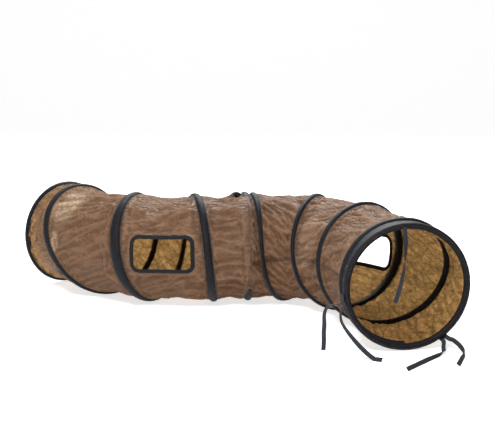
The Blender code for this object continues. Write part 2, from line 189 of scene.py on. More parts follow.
RIGHT_TAIL_B = (
    (0.000, 0.000, 0.000), (0.0006, -0.004, 0.000), (0.005, -0.008, -0.002), (0.013, -0.009, -0.005),
    (0.021, -0.014, -0.011), (0.027, -0.022, -0.017), (0.029, -0.033, -0.021), (0.028, -0.047, -0.022),
    (0.023, -0.062, -0.022), (0.016, -0.079, -0.022), (0.009, -0.097, -0.022), (0.002, -0.115, -0.022),
)
TOP_TAIL = (
    (0.000, 0.000, 0.000), (0.0003, -0.002, 0.000), (0.000, -0.004, -0.003), (0.001, -0.004, -0.014),
    (0.002, -0.004, -0.030), (0.002, -0.003, -0.048), (0.001, -0.002, -0.066), (-0.001, -0.002, -0.084),
    (-0.004, -0.002, -0.102), (-0.008, -0.003, -0.119), (-0.013, -0.004, -0.136), (-0.018, -0.005, -0.151),
)

# Ribbons: steps along and across, how high and how soon they curl, and their thickness beside the CAD's
RIBBON_STEPS = 64
RIBBON_COLUMNS = 6
RIBBON_CURL = 0.00012
RIBBON_CURL_START = 8
RIBBON_SOFTNESS = 0.9
ROUTE_SAMPLES = 40

# Cloth grid, and the creased folds it starts to buckle along: height, length along, width round, seed
ROW_LENGTH = 0.0048
COLUMNS = 160
PIN_REACH = 0.0095
WINDOW_PIN_REACH = 0.002
SETTLING_FRAMES = 20
FOLDS = ((0.0036, 0.085, 0.027, 11), (0.0018, 0.045, 0.015, 12))
FINE_FOLDS = ((0.0024, 0.060, 0.013, 13), (0.0011, 0.024, 0.0085, 14))
NOISE_MARGIN = 0.05
NOISE_SPREAD = 0.28
RIDGE_LEVEL = 0.45
RELIEF_STEPS = 6
RELIEF_HEIGHT = 0.0004

# Painted light: paler patches standing in for light that falls on the cloth, which also let less light
# through: place, angle, reach along and round in degrees, and how pale
PAINTED_LIGHT_PATCHES = (
    (0.146, 38, 0.042, 25, 0.85), (0.150, 84, 0.012, 14, 0.6), (0.830, 65, 0.050, 38, 0.3),
    (0.510, 95, 0.040, 30, 0.1),
)
PAINTED_LIGHT_EDGE = (0.2, 0.7)
PAINTED_LIGHT_CLOTH = (0.66, 0.46, 0.29)
PAINTED_LIGHT_THROUGH = 0.4

# How folds rise beside a binding, shrink where a bend stretches the cloth, and lean round the tube
FOLD_RISE = 0.012
FREE_ROOM = 0.5
BEND_LOSS = 1.2
BEND_LIMITS = (0.5, 1.5)
FOLD_LEAN = ((-0.02, 0.45, 0.565, 0.735, 1.20), (0, 0.2115, 0.2115, 0.135, 0.275))

# Where the cloth lies over the middle ring's binding: its radius, and where it rises and falls
COVER_RADIUS = 0.1337
COVER_ROOM = 0.25
COVER_START = (-0.070, -0.010)
COVER_END = (-0.024, -0.010)
COVER_ANGLES = (8, 22, 112, 150)

# Seams along each half of the tube: places and angles
SEAM_PLACES = (0, 0.5649, 0.5651, 0.85, 1.165)
SEAM_ANGLES = (214, 214, 98, 88, 83)

# Doubled cloth: how far it reaches from a binding's or a seam's middle, and how soon it ends
HEM_WIDTH = 0.0135
HEM_EDGE = 0.0008
SEAM_WIDTH = 0.0055
SEAM_EDGE = 0.0012
SEAM_RISE = 0.0004

# Finishes: where the cloth's mottle runs from its darker to its paler tone, the two nets of creases, each
# with its lean, stretch, fineness and width, and the wire's steel
MOTTLE = (0.36, 0.64)
CREASES = ((0.42, 0.4, 1.0, 0.2), (-0.3, 0.6, 1.9, 0.18))
STEEL = (0.42, 0.42, 0.43)

# How the settling cloth behaves: light and limp, and still within a second
CLOTH_SETTINGS = {
    "quality": 5, "mass": 0.1, "air_damping": 2,
    "tension_stiffness": 20, "compression_stiffness": 20, "shear_stiffness": 6, "bending_stiffness": 0.05,
    "tension_damping": 5, "compression_damping": 5, "shear_damping": 5, "bending_damping": 0.5,
}

# Floor, backdrop and light: each lamp's place, aim, size and power
FLOOR_SIZE = 12
BACKDROP_HEIGHT = 6
BACKDROP_BEND = 2.5
BACKDROP_SEGMENTS = 16
FLOOR_GLOW = 0.70
WORLD_LIGHT = 0.28
WORLD_SEEN = 1.0
LAMPS = {
    "back_light": ((0.2, 1.9, 2.0), (0, 0, 0.1), 1.0, 76),
    "front_key": ((-0.5, -1.6, 1.9), (0, 0, 0.1), 0.5, 52),
}

# Camera
IMAGE_WIDTH = 494
FOCAL_PIXELS = 1059.0
CAMERA_PLACE = (0.0558, -2.4116, 0.6340)
CAMERA_TILT = 0.17937
CAMERA_ROLL = 0.01775

ring_low, ring_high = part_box("middle_ring_binding")
RING_CENTRE = (np.array(ring_low) + np.array(ring_high)) / 2
AXIS_HEIGHT = RING_CENTRE[2]


# Places on the tunnel

def arc_starts():
    """Level points where the middle line's arcs start, with the middle station at the middle ring."""
    turns = np.diff(FACINGS)
    chords = ARC_LENGTHS * np.sinc(turns / (2 * np.pi))
    means = FACINGS[:-1] + turns / 2
    steps = np.stack([chords * np.cos(means), chords * np.sin(means)], -1)
    points = np.concatenate([[[0, 0]], np.cumsum(steps, axis=0)])
    return points - points[MIDDLE] + RING_CENTRE[:2]


ARC_STARTS = arc_starts()


def arc_numbers(places):
    """The number of the arc that each place is on."""
    return np.clip(np.searchsorted(STATIONS, places, side="right") - 1, 0, len(ARC_LENGTHS) - 1)


def middle_line(places):
    """Level coordinates and facings of the middle line at places along it, straight on past both ends."""
    places = np.asarray(places, float)
    number = arc_numbers(places)
    inside = np.clip(places, 0, STATIONS[-1])
    beyond = places - inside
    share = (inside - STATIONS[number]) / ARC_LENGTHS[number]
    turn = (FACINGS[number + 1] - FACINGS[number]) * share
    facing = FACINGS[number] + turn
    chord = ARC_LENGTHS[number] * share * np.sinc(turn / (2 * np.pi))
    mean = FACINGS[number] + turn / 2
    x = ARC_STARTS[number, 0] + chord * np.cos(mean) + beyond * np.cos(facing)
    y = ARC_STARTS[number, 1] + chord * np.sin(mean) + beyond * np.sin(facing)
    return x, y, facing


def on_wall(places, angles, radii):
    """Points on the tunnel's wall."""
    x, y, facing = middle_line(places)
    near = np.sin(angles) * radii
    height = AXIS_HEIGHT + np.cos(angles) * radii
    return np.stack(np.broadcast_arrays(x + np.sin(facing) * near, y - np.cos(facing) * near, height), -1)


def coil_place(turns):
    """Where along the middle line the coil is after so many turns."""
    turns = np.asarray(turns, float)
    number = np.clip(np.floor(turns).astype(int), 0, 5)
    part = turns - number
    lean = (NEAR_SHARES[number] - 0.5) * (1 - np.cos(2 * np.pi * part)) / 2
    start = STATIONS[number + 1] + np.where(number + 1 == MIDDLE, TAPE_PITCH, 0)
    end = STATIONS[number + 2] - np.where(number + 2 == MIDDLE, TAPE_PITCH, 0)
    between = start + (end - start) * (part + lean)
    left = TAPE_PITCH + (STATIONS[1] - TAPE_PITCH) * (turns + 0.5) * 2
    right = STATIONS[7] + (ARC_LENGTHS[7] - TAPE_PITCH) * (turns - 6) * 2
    return np.where(turns < 0, left, np.where(turns > 6, right, between))


def coil_turns_at(angle):
    """The coil's turns that cross an angle."""
    share = (angle / (2 * math.pi)) % 1
    return [count + share for count in range(-1, 7) if -0.5 <= count + share <= 6.5]


def bindings_at(angle):
    """Places where a ring or the coil crosses an angle."""
    coil = [float(coil_place(turns)) for turns in coil_turns_at(angle)]
    return np.array(sorted([0, STATIONS[MIDDLE], STATIONS[-1]] + coil))


def wall_radius(places, angle):
    """The cloth's radius along one angle: drawn in between one binding and the next."""
    marks = bindings_at(angle)
    places = np.asarray(places, float)
    number = np.clip(np.searchsorted(marks, places, side="right") - 1, 0, len(marks) - 2)
    span = marks[number + 1] - marks[number] - TAPE_WIDTH
    free = places - marks[number] - TAPE_WIDTH / 2
    part = np.clip(free / np.maximum(span, 1e-6), 0, 1)
    depth = np.where(span > 0, CLOTH_DRAW * np.minimum(1, span / FULL_DRAW_SPAN), 0)
    return CLOTH_RADIUS - depth * np.sin(np.pi * part) ** 2


def binding_distance(places, angle, bare=True):
    """How far off the nearest binding is, along one angle, with the middle ring's or without."""
    marks = bindings_at(angle)
    if not bare:
        marks = marks[marks != STATIONS[MIDDLE]]
    return np.abs(np.asarray(places, float)[:, None] - marks[None, :]).min(axis=1)


def window_stretch(place):
    """How much longer the outer wall of a bend is than the middle line."""
    number = arc_numbers(place)
    turn = abs(FACINGS[number + 1] - FACINGS[number])
    return 1 + CLOTH_RADIUS * turn / ARC_LENGTHS[number]


def window_outline(bay, marks, inset):
    """Places and angles round a window, for marks from 0 to 4, one unit from corner to corner."""
    _, place, angle, length = WINDOWS[bay]
    marks = np.asarray(marks, float) % 4
    quarter = np.floor(marks).astype(int)
    part = marks - quarter
    arc = np.clip(part / CORNER_PART, 0, 1)
    along = np.clip((part - CORNER_PART) / (1 - CORNER_PART), 0, 1)
    corner = WINDOW_CORNER - inset
    half_long = length / 2 - WINDOW_CORNER
    half_high = WINDOW_HEIGHT / 2 - WINDOW_CORNER
    corner_x = half_long * np.array([1, -1, -1, 1])[quarter]
    corner_y = half_high * np.array([1, 1, -1, -1])[quarter]
    turn = (quarter + arc) * np.pi / 2
    next_x = half_long * np.array([-1, -1, 1, 1])[quarter]
    next_y = half_high * np.array([1, -1, -1, 1])[quarter]
    x = corner_x + (next_x - corner_x) * along + corner * np.cos(turn)
    y = corner_y + (next_y - corner_y) * along + corner * np.sin(turn)
    return place + x / window_stretch(place), angle + y / CLOTH_RADIUS


def window_depth(bay, places, angles):
    """How far inside a window's outline points of the wall lie; outside is negative."""
    _, place, angle, length = WINDOWS[bay]
    x = np.abs((places - place) * window_stretch(place)) - (length / 2 - WINDOW_CORNER)
    turned = (angles - angle + np.pi) % (2 * np.pi) - np.pi
    y = np.abs(turned * CLOTH_RADIUS) - (WINDOW_HEIGHT / 2 - WINDOW_CORNER)
    outside = np.hypot(np.maximum(x, 0), np.maximum(y, 0))
    return WINDOW_CORNER - outside - np.minimum(np.maximum(x, y), 0)


# How bays close

def bay_facts(bay):
    """A bay's stations nearer the middle and farther out, its turn nearer the middle, and its length
    open and closed."""
    first, last, first_turn, last_turn = BAYS[bay]
    ring = first in RING_STATIONS or last in RING_STATIONS
    closed = TAPE_PITCH * (last_turn - first_turn + ring)
    inner, outer, turn = (last, first, last_turn) if bay < LEFT_BAYS else (first, last, first_turn)
    return inner, outer, turn, STATIONS[last] - STATIONS[first], closed


def tape_shares(bay, turns):
    """How far the coil goes with its bay's joint when turns lie side by side at the limit."""
    inner, _, inner_turn, length, closed = bay_facts(bay)
    open_way = np.abs(coil_place(turns) - STATIONS[inner])
    closed_way = TAPE_PITCH * (np.abs(np.asarray(turns) - inner_turn) + (inner == MIDDLE))
    return np.clip((open_way - closed_way) / (length - closed), 0, 1)


def cloth_shares(bay, places, angle):
    """How far the cloth goes with its bay's joint, along one angle: as the tape does under a binding."""
    inner, outer, _, length, _ = bay_facts(bay)
    _, _, first_turn, last_turn = BAYS[bay]
    half = TAPE_WIDTH / 2
    knots = [(0.0, 0.0), (length, 1.0)]
    if inner in RING_STATIONS:
        knots.append((half, 0.0))
    if outer in RING_STATIONS:
        knots.append((length - half, 1.0))
    for turns in coil_turns_at(angle):
        if first_turn <= turns <= last_turn:
            way = abs(float(coil_place(turns)) - STATIONS[inner])
            share = float(tape_shares(bay, turns))
            for edge in (way - half, way + half):
                if 1e-4 < edge < length - 1e-4:
                    knots.append((edge, share))
    knots.sort()
    ways = np.array([knot[0] for knot in knots])
    shares = np.maximum.accumulate(np.array([knot[1] for knot in knots]))
    return np.interp(np.abs(places - STATIONS[inner]), ways, shares)


def closing_shares(bay, places, angles, shares):
    """Shares that lay each point at its own distance in the closed bay, however the open bay is bent."""
    inner, outer, _, length, closed = bay_facts(bay)
    goal = np.abs(places - STATIONS[inner]) - shares * (length - closed)
    points = on_wall(places, angles, CLOTH_RADIUS)
    ways = []
    for station in (inner, outer):
        apart = points - on_wall(STATIONS[station], 0.0, 0.0)
        away = apart[..., 0] * np.cos(FACINGS[station]) + apart[..., 1] * np.sin(FACINGS[station])
        ways.append(-away if bay < LEFT_BAYS else away)
    return np.clip((ways[0] - goal) / (ways[0] - closed - ways[1]), 0, 1)


def blend_bay(piece, bay, shares):
    """Bake a piece's transform into its mesh; the shares are not used."""
    inner, outer, _, _, _ = bay_facts(bay)
    points = on_wall(STATIONS[[inner, outer]], np.zeros(2), np.zeros(2))
    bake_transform(piece)


# Meshes

def deselect_all():
    """Leave edit mode and select nothing."""
    if bpy.context.object and bpy.context.object.mode != "OBJECT":
        bpy.ops.object.mode_set(mode="OBJECT")
    bpy.ops.object.select_all(action="DESELECT")


def activate(piece):
    """Make one object the selected and active one."""
    deselect_all()
    piece.select_set(True)
    bpy.context.view_layer.objects.active = piece


def pick_edges(piece, test):
    """In edit mode, select the edges whose two points pass a test."""
    work = bmesh.from_edit_mesh(piece.data)
    for face in work.faces:
        face.select = False
    for edge in work.edges:
        edge.select = test(edge.verts[0].co, edge.verts[1].co)
    work.select_flush_mode()
    bmesh.update_edit_mesh(piece.data)


def straight_strip(name, section, cuts, capped=True):
    """A straight strip: x is its width, z its height and y runs from 0 to 1 along it, in so many cuts."""
    deselect_all()
    bpy.ops.mesh.primitive_circle_add(vertices=len(section), radius=1, fill_type="NOTHING")
    strip = bpy.context.object
    strip.name = strip.data.name = name
    for vertex, (x, z) in zip(strip.data.vertices, section):
        vertex.co = (x, 0, z)
    bpy.ops.object.mode_set(mode="EDIT")
    bpy.ops.mesh.select_mode(type="EDGE")
    bpy.ops.mesh.select_all(action="SELECT")
    bpy.ops.mesh.extrude_region_move(TRANSFORM_OT_translate={"value": (0, 1, 0)})
    for count in cuts:
        pick_edges(strip, lambda a, b: abs(a.y - b.y) > ROW_REACH)
        bpy.ops.mesh.subdivide(number_cuts=count - 1)
    if capped:
        for end in (0, 1):
            pick_edges(strip, lambda a, b: max(abs(a.y - end), abs(b.y - end)) < ROW_REACH)
            bpy.ops.mesh.edge_face_add()
    bpy.ops.mesh.select_all(action="SELECT")
    bpy.ops.mesh.normals_make_consistent(inside=False)
    bpy.ops.object.mode_set(mode="OBJECT")
    return strip


def mesh_points(piece):
    """A mesh's points as an array."""
    points = np.zeros(len(piece.data.vertices) * 3, np.float32)
    piece.data.vertices.foreach_get("co", points)
    return points.reshape(-1, 3).astype(float)


def set_points(piece, points):
    """Put a mesh's points at new places."""
    piece.data.vertices.foreach_set("co", np.ascontiguousarray(points, np.float32).ravel())
    piece.data.update()


def finish_solid(piece, merge=0.0, smooth_angle=40):
    """Close doubles, turn faces outwards and shade by angle."""
    activate(piece)
    bpy.ops.object.mode_set(mode="EDIT")
    bpy.ops.mesh.select_all(action="SELECT")
    if merge:
        bpy.ops.mesh.remove_doubles(threshold=merge)
    bpy.ops.mesh.normals_make_consistent(inside=False)
    bpy.ops.object.mode_set(mode="OBJECT")
    bpy.ops.object.shade_smooth_by_angle(angle=math.radians(smooth_angle))
    deselect_all()


def set_uv(piece, across, along):
    """The piece's own UV map in metres, from values for each of its points."""
    layer = piece.data.uv_layers.get("UVMap") or piece.data.uv_layers.new(name="UVMap")
    corner_points = np.zeros(len(piece.data.loops), np.int32)
    piece.data.loops.foreach_get("vertex_index", corner_points)
    values = np.stack([np.asarray(across)[corner_points], np.asarray(along)[corner_points]], -1)
    layer.data.foreach_set("uv", np.ascontiguousarray(values, np.float32).ravel())


def set_material(piece, *materials):
    """Give a piece its materials."""
    piece.data.materials.clear()
    for material in materials:
        piece.data.materials.append(material)


# Materials

def new_material(name, colour, roughness, **sockets):
    """A surface whose constants stand on the shader's own sockets."""
    material = bpy.data.materials.new(name)
    material.use_nodes = True
    shader = material.node_tree.nodes["Principled BSDF"]
    shader.inputs["Base Color"].default_value = (*colour, 1)
    shader.inputs["Roughness"].default_value = roughness
    for socket, value in sockets.items():
        shader.inputs[socket.replace("_", " ")].default_value = value
    material.diffuse_color = (*colour, 1)
    return material


def add_node(material, kind, values=None, **inputs):
    """A node with its properties and constants set, and its inputs linked where a socket is given."""
    tree = material.node_tree
    node = tree.nodes.new(kind)
    for key, value in (values or {}).items():
        setattr(node, key, value)
    for key, value in inputs.items():
        socket = node.inputs[int(key[1:])] if key[0] == "i" and key[1:].isdigit() else node.inputs[key]
        if isinstance(value, bpy.types.NodeSocket):
            tree.links.new(value, socket)
        else:
            socket.default_value = value
    return node


def tone(material, source, low, high, colour_a, colour_b):
    """A colour that runs from one, or from a node's, to another as a value goes from low to high."""
    ramp = add_node(material, "ShaderNodeMapRange", None, i0=source, i1=low, i2=high)
    mix = add_node(material, "ShaderNodeMix", {"data_type": "RGBA"}, i0=ramp.outputs[0])
    if isinstance(colour_a, bpy.types.NodeSocket):
        material.node_tree.links.new(colour_a, mix.inputs[6])
    else:
        mix.inputs[6].default_value = (*colour_a, 1)
    mix.inputs[7].default_value = (*colour_b, 1)
    return mix.outputs[2]


def shaded(material, source, low, high, colour):
    """A colour made darker or lighter as a value goes from low to high, each given with its level."""
    ramp = add_node(
        material, "ShaderNodeMapRange", None,
        i0=source, i1=float(low[0]), i2=float(high[0]), i3=float(low[1]), i4=float(high[1]),
    )
    scaled = add_node(
        material, "ShaderNodeVectorMath", {"operation": "SCALE"}, i0=colour, Scale=ramp.outputs[0],
    )
    return scaled.outputs[0]


def noise(material, coordinates, scale, detail, roughness=0.5):
    """A noise node."""
    return add_node(
        material, "ShaderNodeTexNoise", None,
        Vector=coordinates, Scale=scale, Detail=detail, Roughness=roughness,
    )


def blended(material, share, first, second):
    """A value between two others."""
    mix = add_node(material, "ShaderNodeMix", {"data_type": "FLOAT"}, i0=share, i2=first, i3=second)
    return mix.outputs[0]


def attribute(material, name):
    """The value of one of the piece's own attributes."""
    return add_node(material, "ShaderNodeAttribute", {"attribute_name": name}).outputs["Fac"]


def weave(material, coordinates, across, along):
    """The height of a plain weave from two sets of threads."""
    bands = []
    for direction, size in (("X", across), ("Y", along)):
        wave = add_node(
            material, "ShaderNodeTexWave",
            {"wave_type": "BANDS", "bands_direction": direction, "wave_profile": "SIN"},
            Vector=coordinates, Scale=2 * math.pi / (20 * size), Distortion=0.0,
        )
        bands.append(wave.outputs["Fac"])
    top = add_node(material, "ShaderNodeMath", {"operation": "MAXIMUM"}, i0=bands[0], i1=bands[1])
    return top.outputs[0]


def uv_of(material):
    """The piece's own UV map."""
    return add_node(material, "ShaderNodeUVMap", {"uv_map": "UVMap"}).outputs["UV"]


def cloth_material(name, colour, shade, lit, lit_share, roughness, crease_shade_share, crease_size, fold_shade_share):
    """Thin woven cloth: its own colour, with painted shade along creases and in the hollows of folds, painted
    highlights on ridges and patches of painted light, and light that comes through it, with painted shade
    where it is creased.
    """
    material = new_material(name, colour, roughness, Sheen_Weight=0.12, Sheen_Roughness=0.45, IOR=1.48)
    shader = material.node_tree.nodes["Principled BSDF"]
    uv = uv_of(material)
    soft = noise(material, uv, 22.0, 4.0, 0.6).outputs[0]
    fine = noise(material, uv, 900.0, 2.0, 0.6).outputs[0]
    mottle = blended(material, 0.35, soft, fine)
    hem, painted_fold_shade, worn_and_painted_light = (attribute(material, look) for look in ("hem", "fold_shade_relief", "painted_light_share"))
    creases = crease_lines(material, uv, crease_size)

    # Painted light: paler patches laid over the cloth's random mottle.
    plain = tone(material, worn_and_painted_light, 0, 1, tone(material, mottle, *MOTTLE, shade, colour), PAINTED_LIGHT_CLOTH)
    # Painted shade in the hollows of the folds and painted highlights on their ridges.
    folded = shaded(material, painted_fold_shade, (-1, 1 - fold_shade_share), (1, 1 + fold_shade_share), plain)
    # Painted shade along the creases.
    creased = shaded(material, creases, (0, 1 - crease_shade_share / 2), (1, 1), folded)
    hemmed = shaded(material, hem, (0, 1), (1, 0.60), creased)

    lit_plain = tone(material, mottle, *MOTTLE, [value * 0.86 for value in lit], lit)
    # Painted shade of the light through the cloth in the hollows of the folds.
    lit_fold_shaded = shaded(material, painted_fold_shade, (-1, 1 - fold_shade_share), (1, 1), lit_plain)
    # Painted shade of the light through the cloth along the creases.
    lit_creased = shaded(material, creases, (0, 1 - crease_shade_share), (1, 1), lit_fold_shaded)
    lit_hem = shaded(material, hem, (0, 1), (1, 0.55), lit_creased)

    deep = add_node(material, "ShaderNodeBump", None, Strength=1.0, Distance=0.0036, Height=creases)
    threads = weave(material, uv, 0.0007, 0.0006)
    bump = add_node(
        material, "ShaderNodeBump", None,
        Strength=0.25, Distance=0.0001, Height=threads, Normal=deep.outputs[0],
    )
    light = add_node(material, "ShaderNodeBsdfTranslucent", None, Color=lit_hem, Normal=bump.outputs[0])
    # The patches of painted light let less light through.
    through = add_node(
        material, "ShaderNodeMapRange", None,
        i0=worn_and_painted_light, i1=0.0, i2=1.0, i3=lit_share, i4=lit_share * PAINTED_LIGHT_THROUGH,
    )
    mix = add_node(
        material, "ShaderNodeMixShader", None,
        i0=through.outputs[0], i1=shader.outputs[0], i2=light.outputs[0],
    )
    links = material.node_tree.links
    links.new(hemmed, shader.inputs["Base Color"])
    links.new(bump.outputs[0], shader.inputs["Normal"])
    links.new(mix.outputs[0], material.node_tree.nodes["Material Output"].inputs["Surface"])
    return material


def crease_lines(material, uv, size):
    """Heights of crumpled cloth: long facets that meet in a net of fine creases."""
    bend = noise(material, uv, 26.0, 4.0, 0.65)
    moved = add_node(
        material, "ShaderNodeVectorMath", {"operation": "MULTIPLY_ADD"},
        i0=bend.outputs["Color"], i1=(0.03, 0.03, 0.0), i2=uv,
    )
    heights = []
    for lean, stretch, scale, width in CREASES:
        laid = add_node(material, "ShaderNodeMapping", None, Vector=moved.outputs[0])
        laid.inputs["Rotation"].default_value = (0, 0, lean)
        laid.inputs["Scale"].default_value = (1, stretch, 1)
        cells = add_node(
            material, "ShaderNodeTexVoronoi", {"feature": "DISTANCE_TO_EDGE"},
            Vector=laid.outputs[0], Scale=scale / size,
        )
        rise = add_node(
            material, "ShaderNodeMapRange", {"interpolation_type": "SMOOTHSTEP"},
            i0=cells.outputs["Distance"], i1=0.0, i2=width,
        )
        heights.append(rise.outputs[0])
    return blended(material, 0.45, *heights)


def ribbed_material(name, colour, worn_and_painted_light, rib, roughness, sheen):
    """Black woven tape with ribs across it, a little greyer where it is rubbed."""
    material = new_material(name, colour, roughness, Sheen_Weight=sheen, Sheen_Roughness=0.4, IOR=1.30)
    shader = material.node_tree.nodes["Principled BSDF"]
    shader.inputs["Sheen Tint"].default_value = (0.75, 0.82, 1.0, 1)
    uv = uv_of(material)
    rubbed = noise(material, uv, 70.0, 5.0, 0.7)
    threads = weave(material, uv, rib * 0.7, rib)
    bump = add_node(material, "ShaderNodeBump", None, Strength=0.5, Distance=0.00018, Height=threads)
    links = material.node_tree.links
    links.new(tone(material, rubbed.outputs[0], 0.42, 0.68, colour, worn_and_painted_light), shader.inputs["Base Color"])
    links.new(bump.outputs[0], shader.inputs["Normal"])
    return material


def steel_material(name, colour):
    """Drawn spring wire with fine marks along it."""
    material = new_material(name, colour, 0.3, Metallic=1.0)
    shader = material.node_tree.nodes["Principled BSDF"]
    place = add_node(material, "ShaderNodeTexCoord").outputs["Object"]
    marks = noise(material, place, 400.0, 3.0).outputs[0]
    bump = add_node(material, "ShaderNodeBump", None, Strength=0.2, Distance=0.00005, Height=marks)
    material.node_tree.links.new(bump.outputs[0], shader.inputs["Normal"])
    tint = tone(material, marks, 0.4, 0.65, colour, [value * 0.8 for value in colour])
    material.node_tree.links.new(tint, shader.inputs["Base Color"])
    return material


def thread_material(name, colour):
    """Twisted sewing thread."""
    material = new_material(name, colour, 0.55, Sheen_Weight=0.2, IOR=1.45)
    shader = material.node_tree.nodes["Principled BSDF"]
    place = add_node(material, "ShaderNodeTexCoord").outputs["Object"]
    twist = noise(material, place, 1500.0, 1.0).outputs[0]
    tint = tone(material, twist, 0.4, 0.6, colour, [value * 1.6 for value in colour])
    material.node_tree.links.new(tint, shader.inputs["Base Color"])
    return material


def tunnel_material(name):
    """A finish of the tunnel, made once from the chosen colours."""
    made = bpy.data.materials.get(name)
    if made:
        return made
    chosen = bpy.context.scene.tunnel_colours
    if name == "cloth_outside":
        colours = (tuple(chosen.cloth), tuple(chosen.cloth_shade), tuple(chosen.lit_outside))
        # The crease and fold shares set how deep the painted shade along creases and over folds goes.
        return cloth_material(
            name, *colours, chosen.lit_share, roughness=0.45, crease_shade_share=0.2, crease_size=0.016,
            fold_shade_share=0.3,
        )
    if name == "cloth_inside":
        colours = (tuple(chosen.lining), tuple(chosen.lining_shade), tuple(chosen.lit_inside))
        return cloth_material(
            name, *colours, chosen.lining_lit_share, roughness=0.5, crease_shade_share=0.5, crease_size=0.020,
            fold_shade_share=0.45,
        )
    black = (tuple(chosen.tape), tuple(chosen.tape_worn))
    if name == "black_tape":
        return ribbed_material(name, *black, rib=0.0006, roughness=0.62, sheen=0.04)
    if name == "black_ribbon":
        return ribbed_material(name, *black, rib=0.0008, roughness=0.62, sheen=0.03)
    if name == "spring_steel":
        return steel_material(name, STEEL)
    return thread_material(name, tuple(chosen.thread))


# Cloth

def grid_places():
    """The cloth grid's rows along the middle line: each station has a row of its own."""
    ends = np.concatenate([[-TAPE_WIDTH / 2], STATIONS, [STATIONS[-1] + TAPE_WIDTH / 2]])
    rows = []
    for start, end in zip(ends, ends[1:]):
        steps = max(2, int(round((end - start) / ROW_LENGTH)))
        rows += list(np.linspace(start, end, steps, endpoint=False))
    return np.array(rows + [ends[-1]])


def grid_faces(row_count, column_count):
    """The faces of a tube's grid, facing out."""
    rows, columns = np.meshgrid(np.arange(row_count - 1), np.arange(column_count), indexing="ij")
    here = rows * column_count
    beside = (columns + 1) % column_count
    faces = [here + columns, here + beside, here + column_count + beside, here + column_count + columns]
    return np.stack(faces, -1).reshape(-1, 4)


def wall_noise(places, angles, cell_along, cell_round, lean, seed):
    """Smooth noise over the wall, about one in size and whole round it, in cells that lean round it."""
    count = max(3, round(2 * np.pi * CLOTH_RADIUS / cell_round))
    rows = int((STATIONS[-1] + 2 * NOISE_MARGIN) / cell_along) + 5
    lattice = np.random.default_rng(seed).uniform(-1, 1, (rows, count))
    along = (places + NOISE_MARGIN) / cell_along
    around = angles / (2 * np.pi) * count + lean / cell_round
    first_along, first_around = np.floor(along).astype(int), np.floor(around).astype(int)
    total = 0
    for row, row_weight in enumerate(spline_weights(along - first_along)):
        for column, column_weight in enumerate(spline_weights(around - first_around)):
            values = lattice[first_along + row, (first_around + column) % count]
            total = total + row_weight * column_weight * values
    return total / NOISE_SPREAD


def spline_weights(part):
    """Weights of the four lattice points round a place."""
    back = 1 - part
    return (
        back ** 3 / 6, (3 * part ** 3 - 6 * part ** 2 + 4) / 6, (3 * back ** 3 - 6 * back ** 2 + 4) / 6,
        part ** 3 / 6,
    )


def smooth_step(low, high, values):
    """From 0 at low to 1 at high, level at both."""
    part = np.clip((np.asarray(values, float) - low) / (high - low), 0, 1)
    return part * part * (3 - 2 * part)


def fold_heights(places, angles, folds):
    """Sharp ridges and soft hollows, as crumpled cloth has them."""
    lean = np.interp(places, *FOLD_LEAN)
    return sum(size * (RIDGE_LEVEL - np.abs(wall_noise(places, angles, along, around, lean, seed)))
               for size, along, around, seed in folds)


def fold_room(places, angles):
    """How freely the cloth may fold: not at bindings or windows, less where a bend stretches it."""
    distances = [np.stack([binding_distance(places[:, 0], angle, bare) for angle in angles[0]], 1)
                 for bare in (True, False)]
    edge = TAPE_WIDTH / 2
    bare_room, covered_room = [smooth_step(edge, edge + FOLD_RISE, item) for item in distances]
    room = np.maximum(bare_room, COVER_ROOM * covered_room * cover_share(places, angles) ** 2)
    for bay in WINDOWS:
        outside = -window_depth(bay, places, angles)
        room = room * smooth_step(WINDOW_PIN_REACH, WINDOW_PIN_REACH + FOLD_RISE, outside)
    bend = (np.diff(FACINGS) / ARC_LENGTHS)[arc_numbers(places)] * CLOTH_RADIUS * np.sin(angles)
    return room * np.clip(1 - BEND_LOSS * bend, *BEND_LIMITS)


def cover_share(places, angles):
    """Where a roll of cloth hides the middle ring's binding: on the near side, up to the top."""
    turned = np.degrees(angles)
    round_share = smooth_step(*COVER_ANGLES[:2], turned) * (1 - smooth_step(*COVER_ANGLES[2:], turned))
    after_ring = smooth_step(*COVER_START, places - STATIONS[MIDDLE])
    after_coil = smooth_step(*COVER_END, places - coil_place(LEFT_BAYS + angles / (2 * np.pi)))
    return round_share * after_ring * (1 - after_coil)


def settle(points, pinned, slack, frames):
    """Let cloth with slack in it buckle between its pins."""
    rows, columns, _ = points.shape
    mesh = bpy.data.meshes.new("settling_cloth")
    mesh.from_pydata(points.reshape(-1, 3).tolist(), [], grid_faces(rows, columns).tolist())
    sheet = bpy.data.objects.new("settling_cloth", mesh)
    bpy.context.scene.collection.objects.link(sheet)
    group = sheet.vertex_groups.new(name="pins")
    group.add(np.flatnonzero(pinned.ravel()).tolist(), 1.0, "REPLACE")
    cloth = sheet.modifiers.new("cloth", "CLOTH")
    for setting, value in CLOTH_SETTINGS.items():
        setattr(cloth.settings, setting, value)
    cloth.settings.vertex_group_mass = "pins"
    cloth.settings.shrink_min = -slack
    cloth.settings.effector_weights.gravity = 0
    cloth.collision_settings.use_collision = False
    cloth.collision_settings.use_self_collision = False
    cloth.point_cache.frame_start = 1
    cloth.point_cache.frame_end = frames
    scene = bpy.context.scene
    for number in range(1, frames + 1):
        scene.frame_set(number)
    shown = sheet.evaluated_get(bpy.context.evaluated_depsgraph_get()).data
    settled = np.zeros(rows * columns * 3, np.float32)
    shown.vertices.foreach_get("co", settled)
    bpy.data.objects.remove(sheet, do_unlink=True)
    bpy.data.meshes.remove(mesh)
    scene.frame_set(1)
    return settled.reshape(rows, columns, 3).astype(float)


